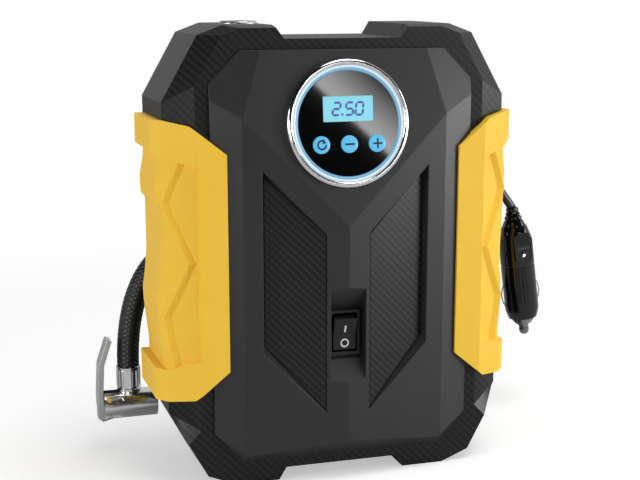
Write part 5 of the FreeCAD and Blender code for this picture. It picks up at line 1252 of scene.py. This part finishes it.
world = bpy.data.worlds.new("studio_world")
bpy.context.scene.world = world
world.use_nodes = True
world.node_tree.nodes.clear()
fill = add(world, "ShaderNodeBackground", {"Color": linear("#ffffff"), "Strength": 0.26})
white = add(world, "ShaderNodeBackground", {"Color": linear("#ffffff"), "Strength": 1.0})
heading = add(world, "ShaderNodeTexCoord").outputs["Generated"]
toward = add(world, "ShaderNodeSeparateXYZ", links={0: heading})
behind = add(world, "ShaderNodeMapRange",
             {"From Min": -0.55, "From Max": 0.25, "To Min": 0.03, "To Max": 0.75},
             {"Value": toward.outputs[1]}, interpolation_type="SMOOTHSTEP")
CARD_AT = Vector((-0.62, 0.1, 0.78)).normalized()
aside = add(world, "ShaderNodeVectorMath", {1: CARD_AT}, {0: heading}, operation="DOT_PRODUCT")
black_card = add(world, "ShaderNodeMapRange",
                 {"From Min": 0.6, "From Max": 0.78, "To Min": 1.0, "To Max": 0.04},
                 {"Value": aside.outputs["Value"]}, interpolation_type="SMOOTHSTEP")
room_level = maths(world, "MULTIPLY", behind.outputs[0], black_card.outputs[0])
room = add(world, "ShaderNodeBackground", {"Color": linear("#ffffff")}, {"Strength": room_level})
glossy = add(world, "ShaderNodeLightPath").outputs["Is Glossy Ray"]
shown(world, "ShaderNodeOutputWorld", mixed(world, glossy, fill.outputs[0], room.outputs[0]),
      white.outputs[0])
print("floor and world made")


# %% [markdown]
# Soft lamps stand on both sides and overhead. Two more, the shine lamps, light nothing by
# themselves: they only show as soft reflections on the panel's folds. The front panel is one
# that the gauge's glass mirrors; it fades from one side to the other, as a lit card does.

# %% Lamps
def softbox(name, position, target, wide, high, watts, roll=0.0):
    """A rectangular lamp behind a diffuser, turned to a target."""
    data = bpy.data.lights.new(name, "AREA")
    data.shape = "RECTANGLE"
    data.size = wide
    data.size_y = high
    data.energy = watts
    lamp = new_object(name, data)
    lamp.location = position
    aim = (Vector(target) - Vector(position)).to_track_quat("-Z", "Y")
    lamp.rotation_euler = (aim @ Quaternion((0, 0, 1), roll)).to_euler()
    return lamp


middle = (0.0, 0.0, 0.1)
softbox("key_right", (0.85, -0.85, 0.10), middle, 0.3, 0.4, 4.6)
softbox("edge_right", (1.25, -0.25, 0.35), middle, 0.4, 0.6, 3.6)
softbox("fill_left", (-1.25, -0.25, 0.20), middle, 0.5, 0.8, 8.5)
softbox("overhead", (0.30, -0.30, 1.40), middle, 0.9, 0.6, 10.0)
SHINE_LAMPS = {"shine_left": ((-0.66, -1.0, 0.08), 4.0), "shine_right": ((1.0, -0.6, 0.08), 6.0)}
for name, (position, watts) in SHINE_LAMPS.items():
    softbox(name, position, middle, 0.25, 0.5, watts).visible_diffuse = False
panel = softbox("front_panel", (0.405, -1.2, 0.385), (0.0, -0.035, 0.162), 0.16, 0.6, 1.3,
                math.radians(43))
panel.data.use_nodes = True
spot_on_panel = add(panel.data, "ShaderNodeNewGeometry").outputs["Parametric"]
span = add(panel.data, "ShaderNodeSeparateXYZ", links={0: spot_on_panel})
graded = add(panel.data, "ShaderNodeMapRange", {"From Max": 0.42, "To Min": 2.4, "To Max": 0.05},
             {"Value": span.outputs[0]})
strength = panel.data.node_tree.nodes["Emission"].inputs["Strength"]
panel.data.node_tree.links.new(graded.outputs[0], strength)
bpy.context.scene.view_settings.view_transform = "Standard"
print("lamps made")

# %% [markdown]
# The hose and the cord hang free. The hose is stiff and ends in the lever chuck. The cord is
# coiled and ends in the adapter plug.

# %% Hose and cord
print("scene built")
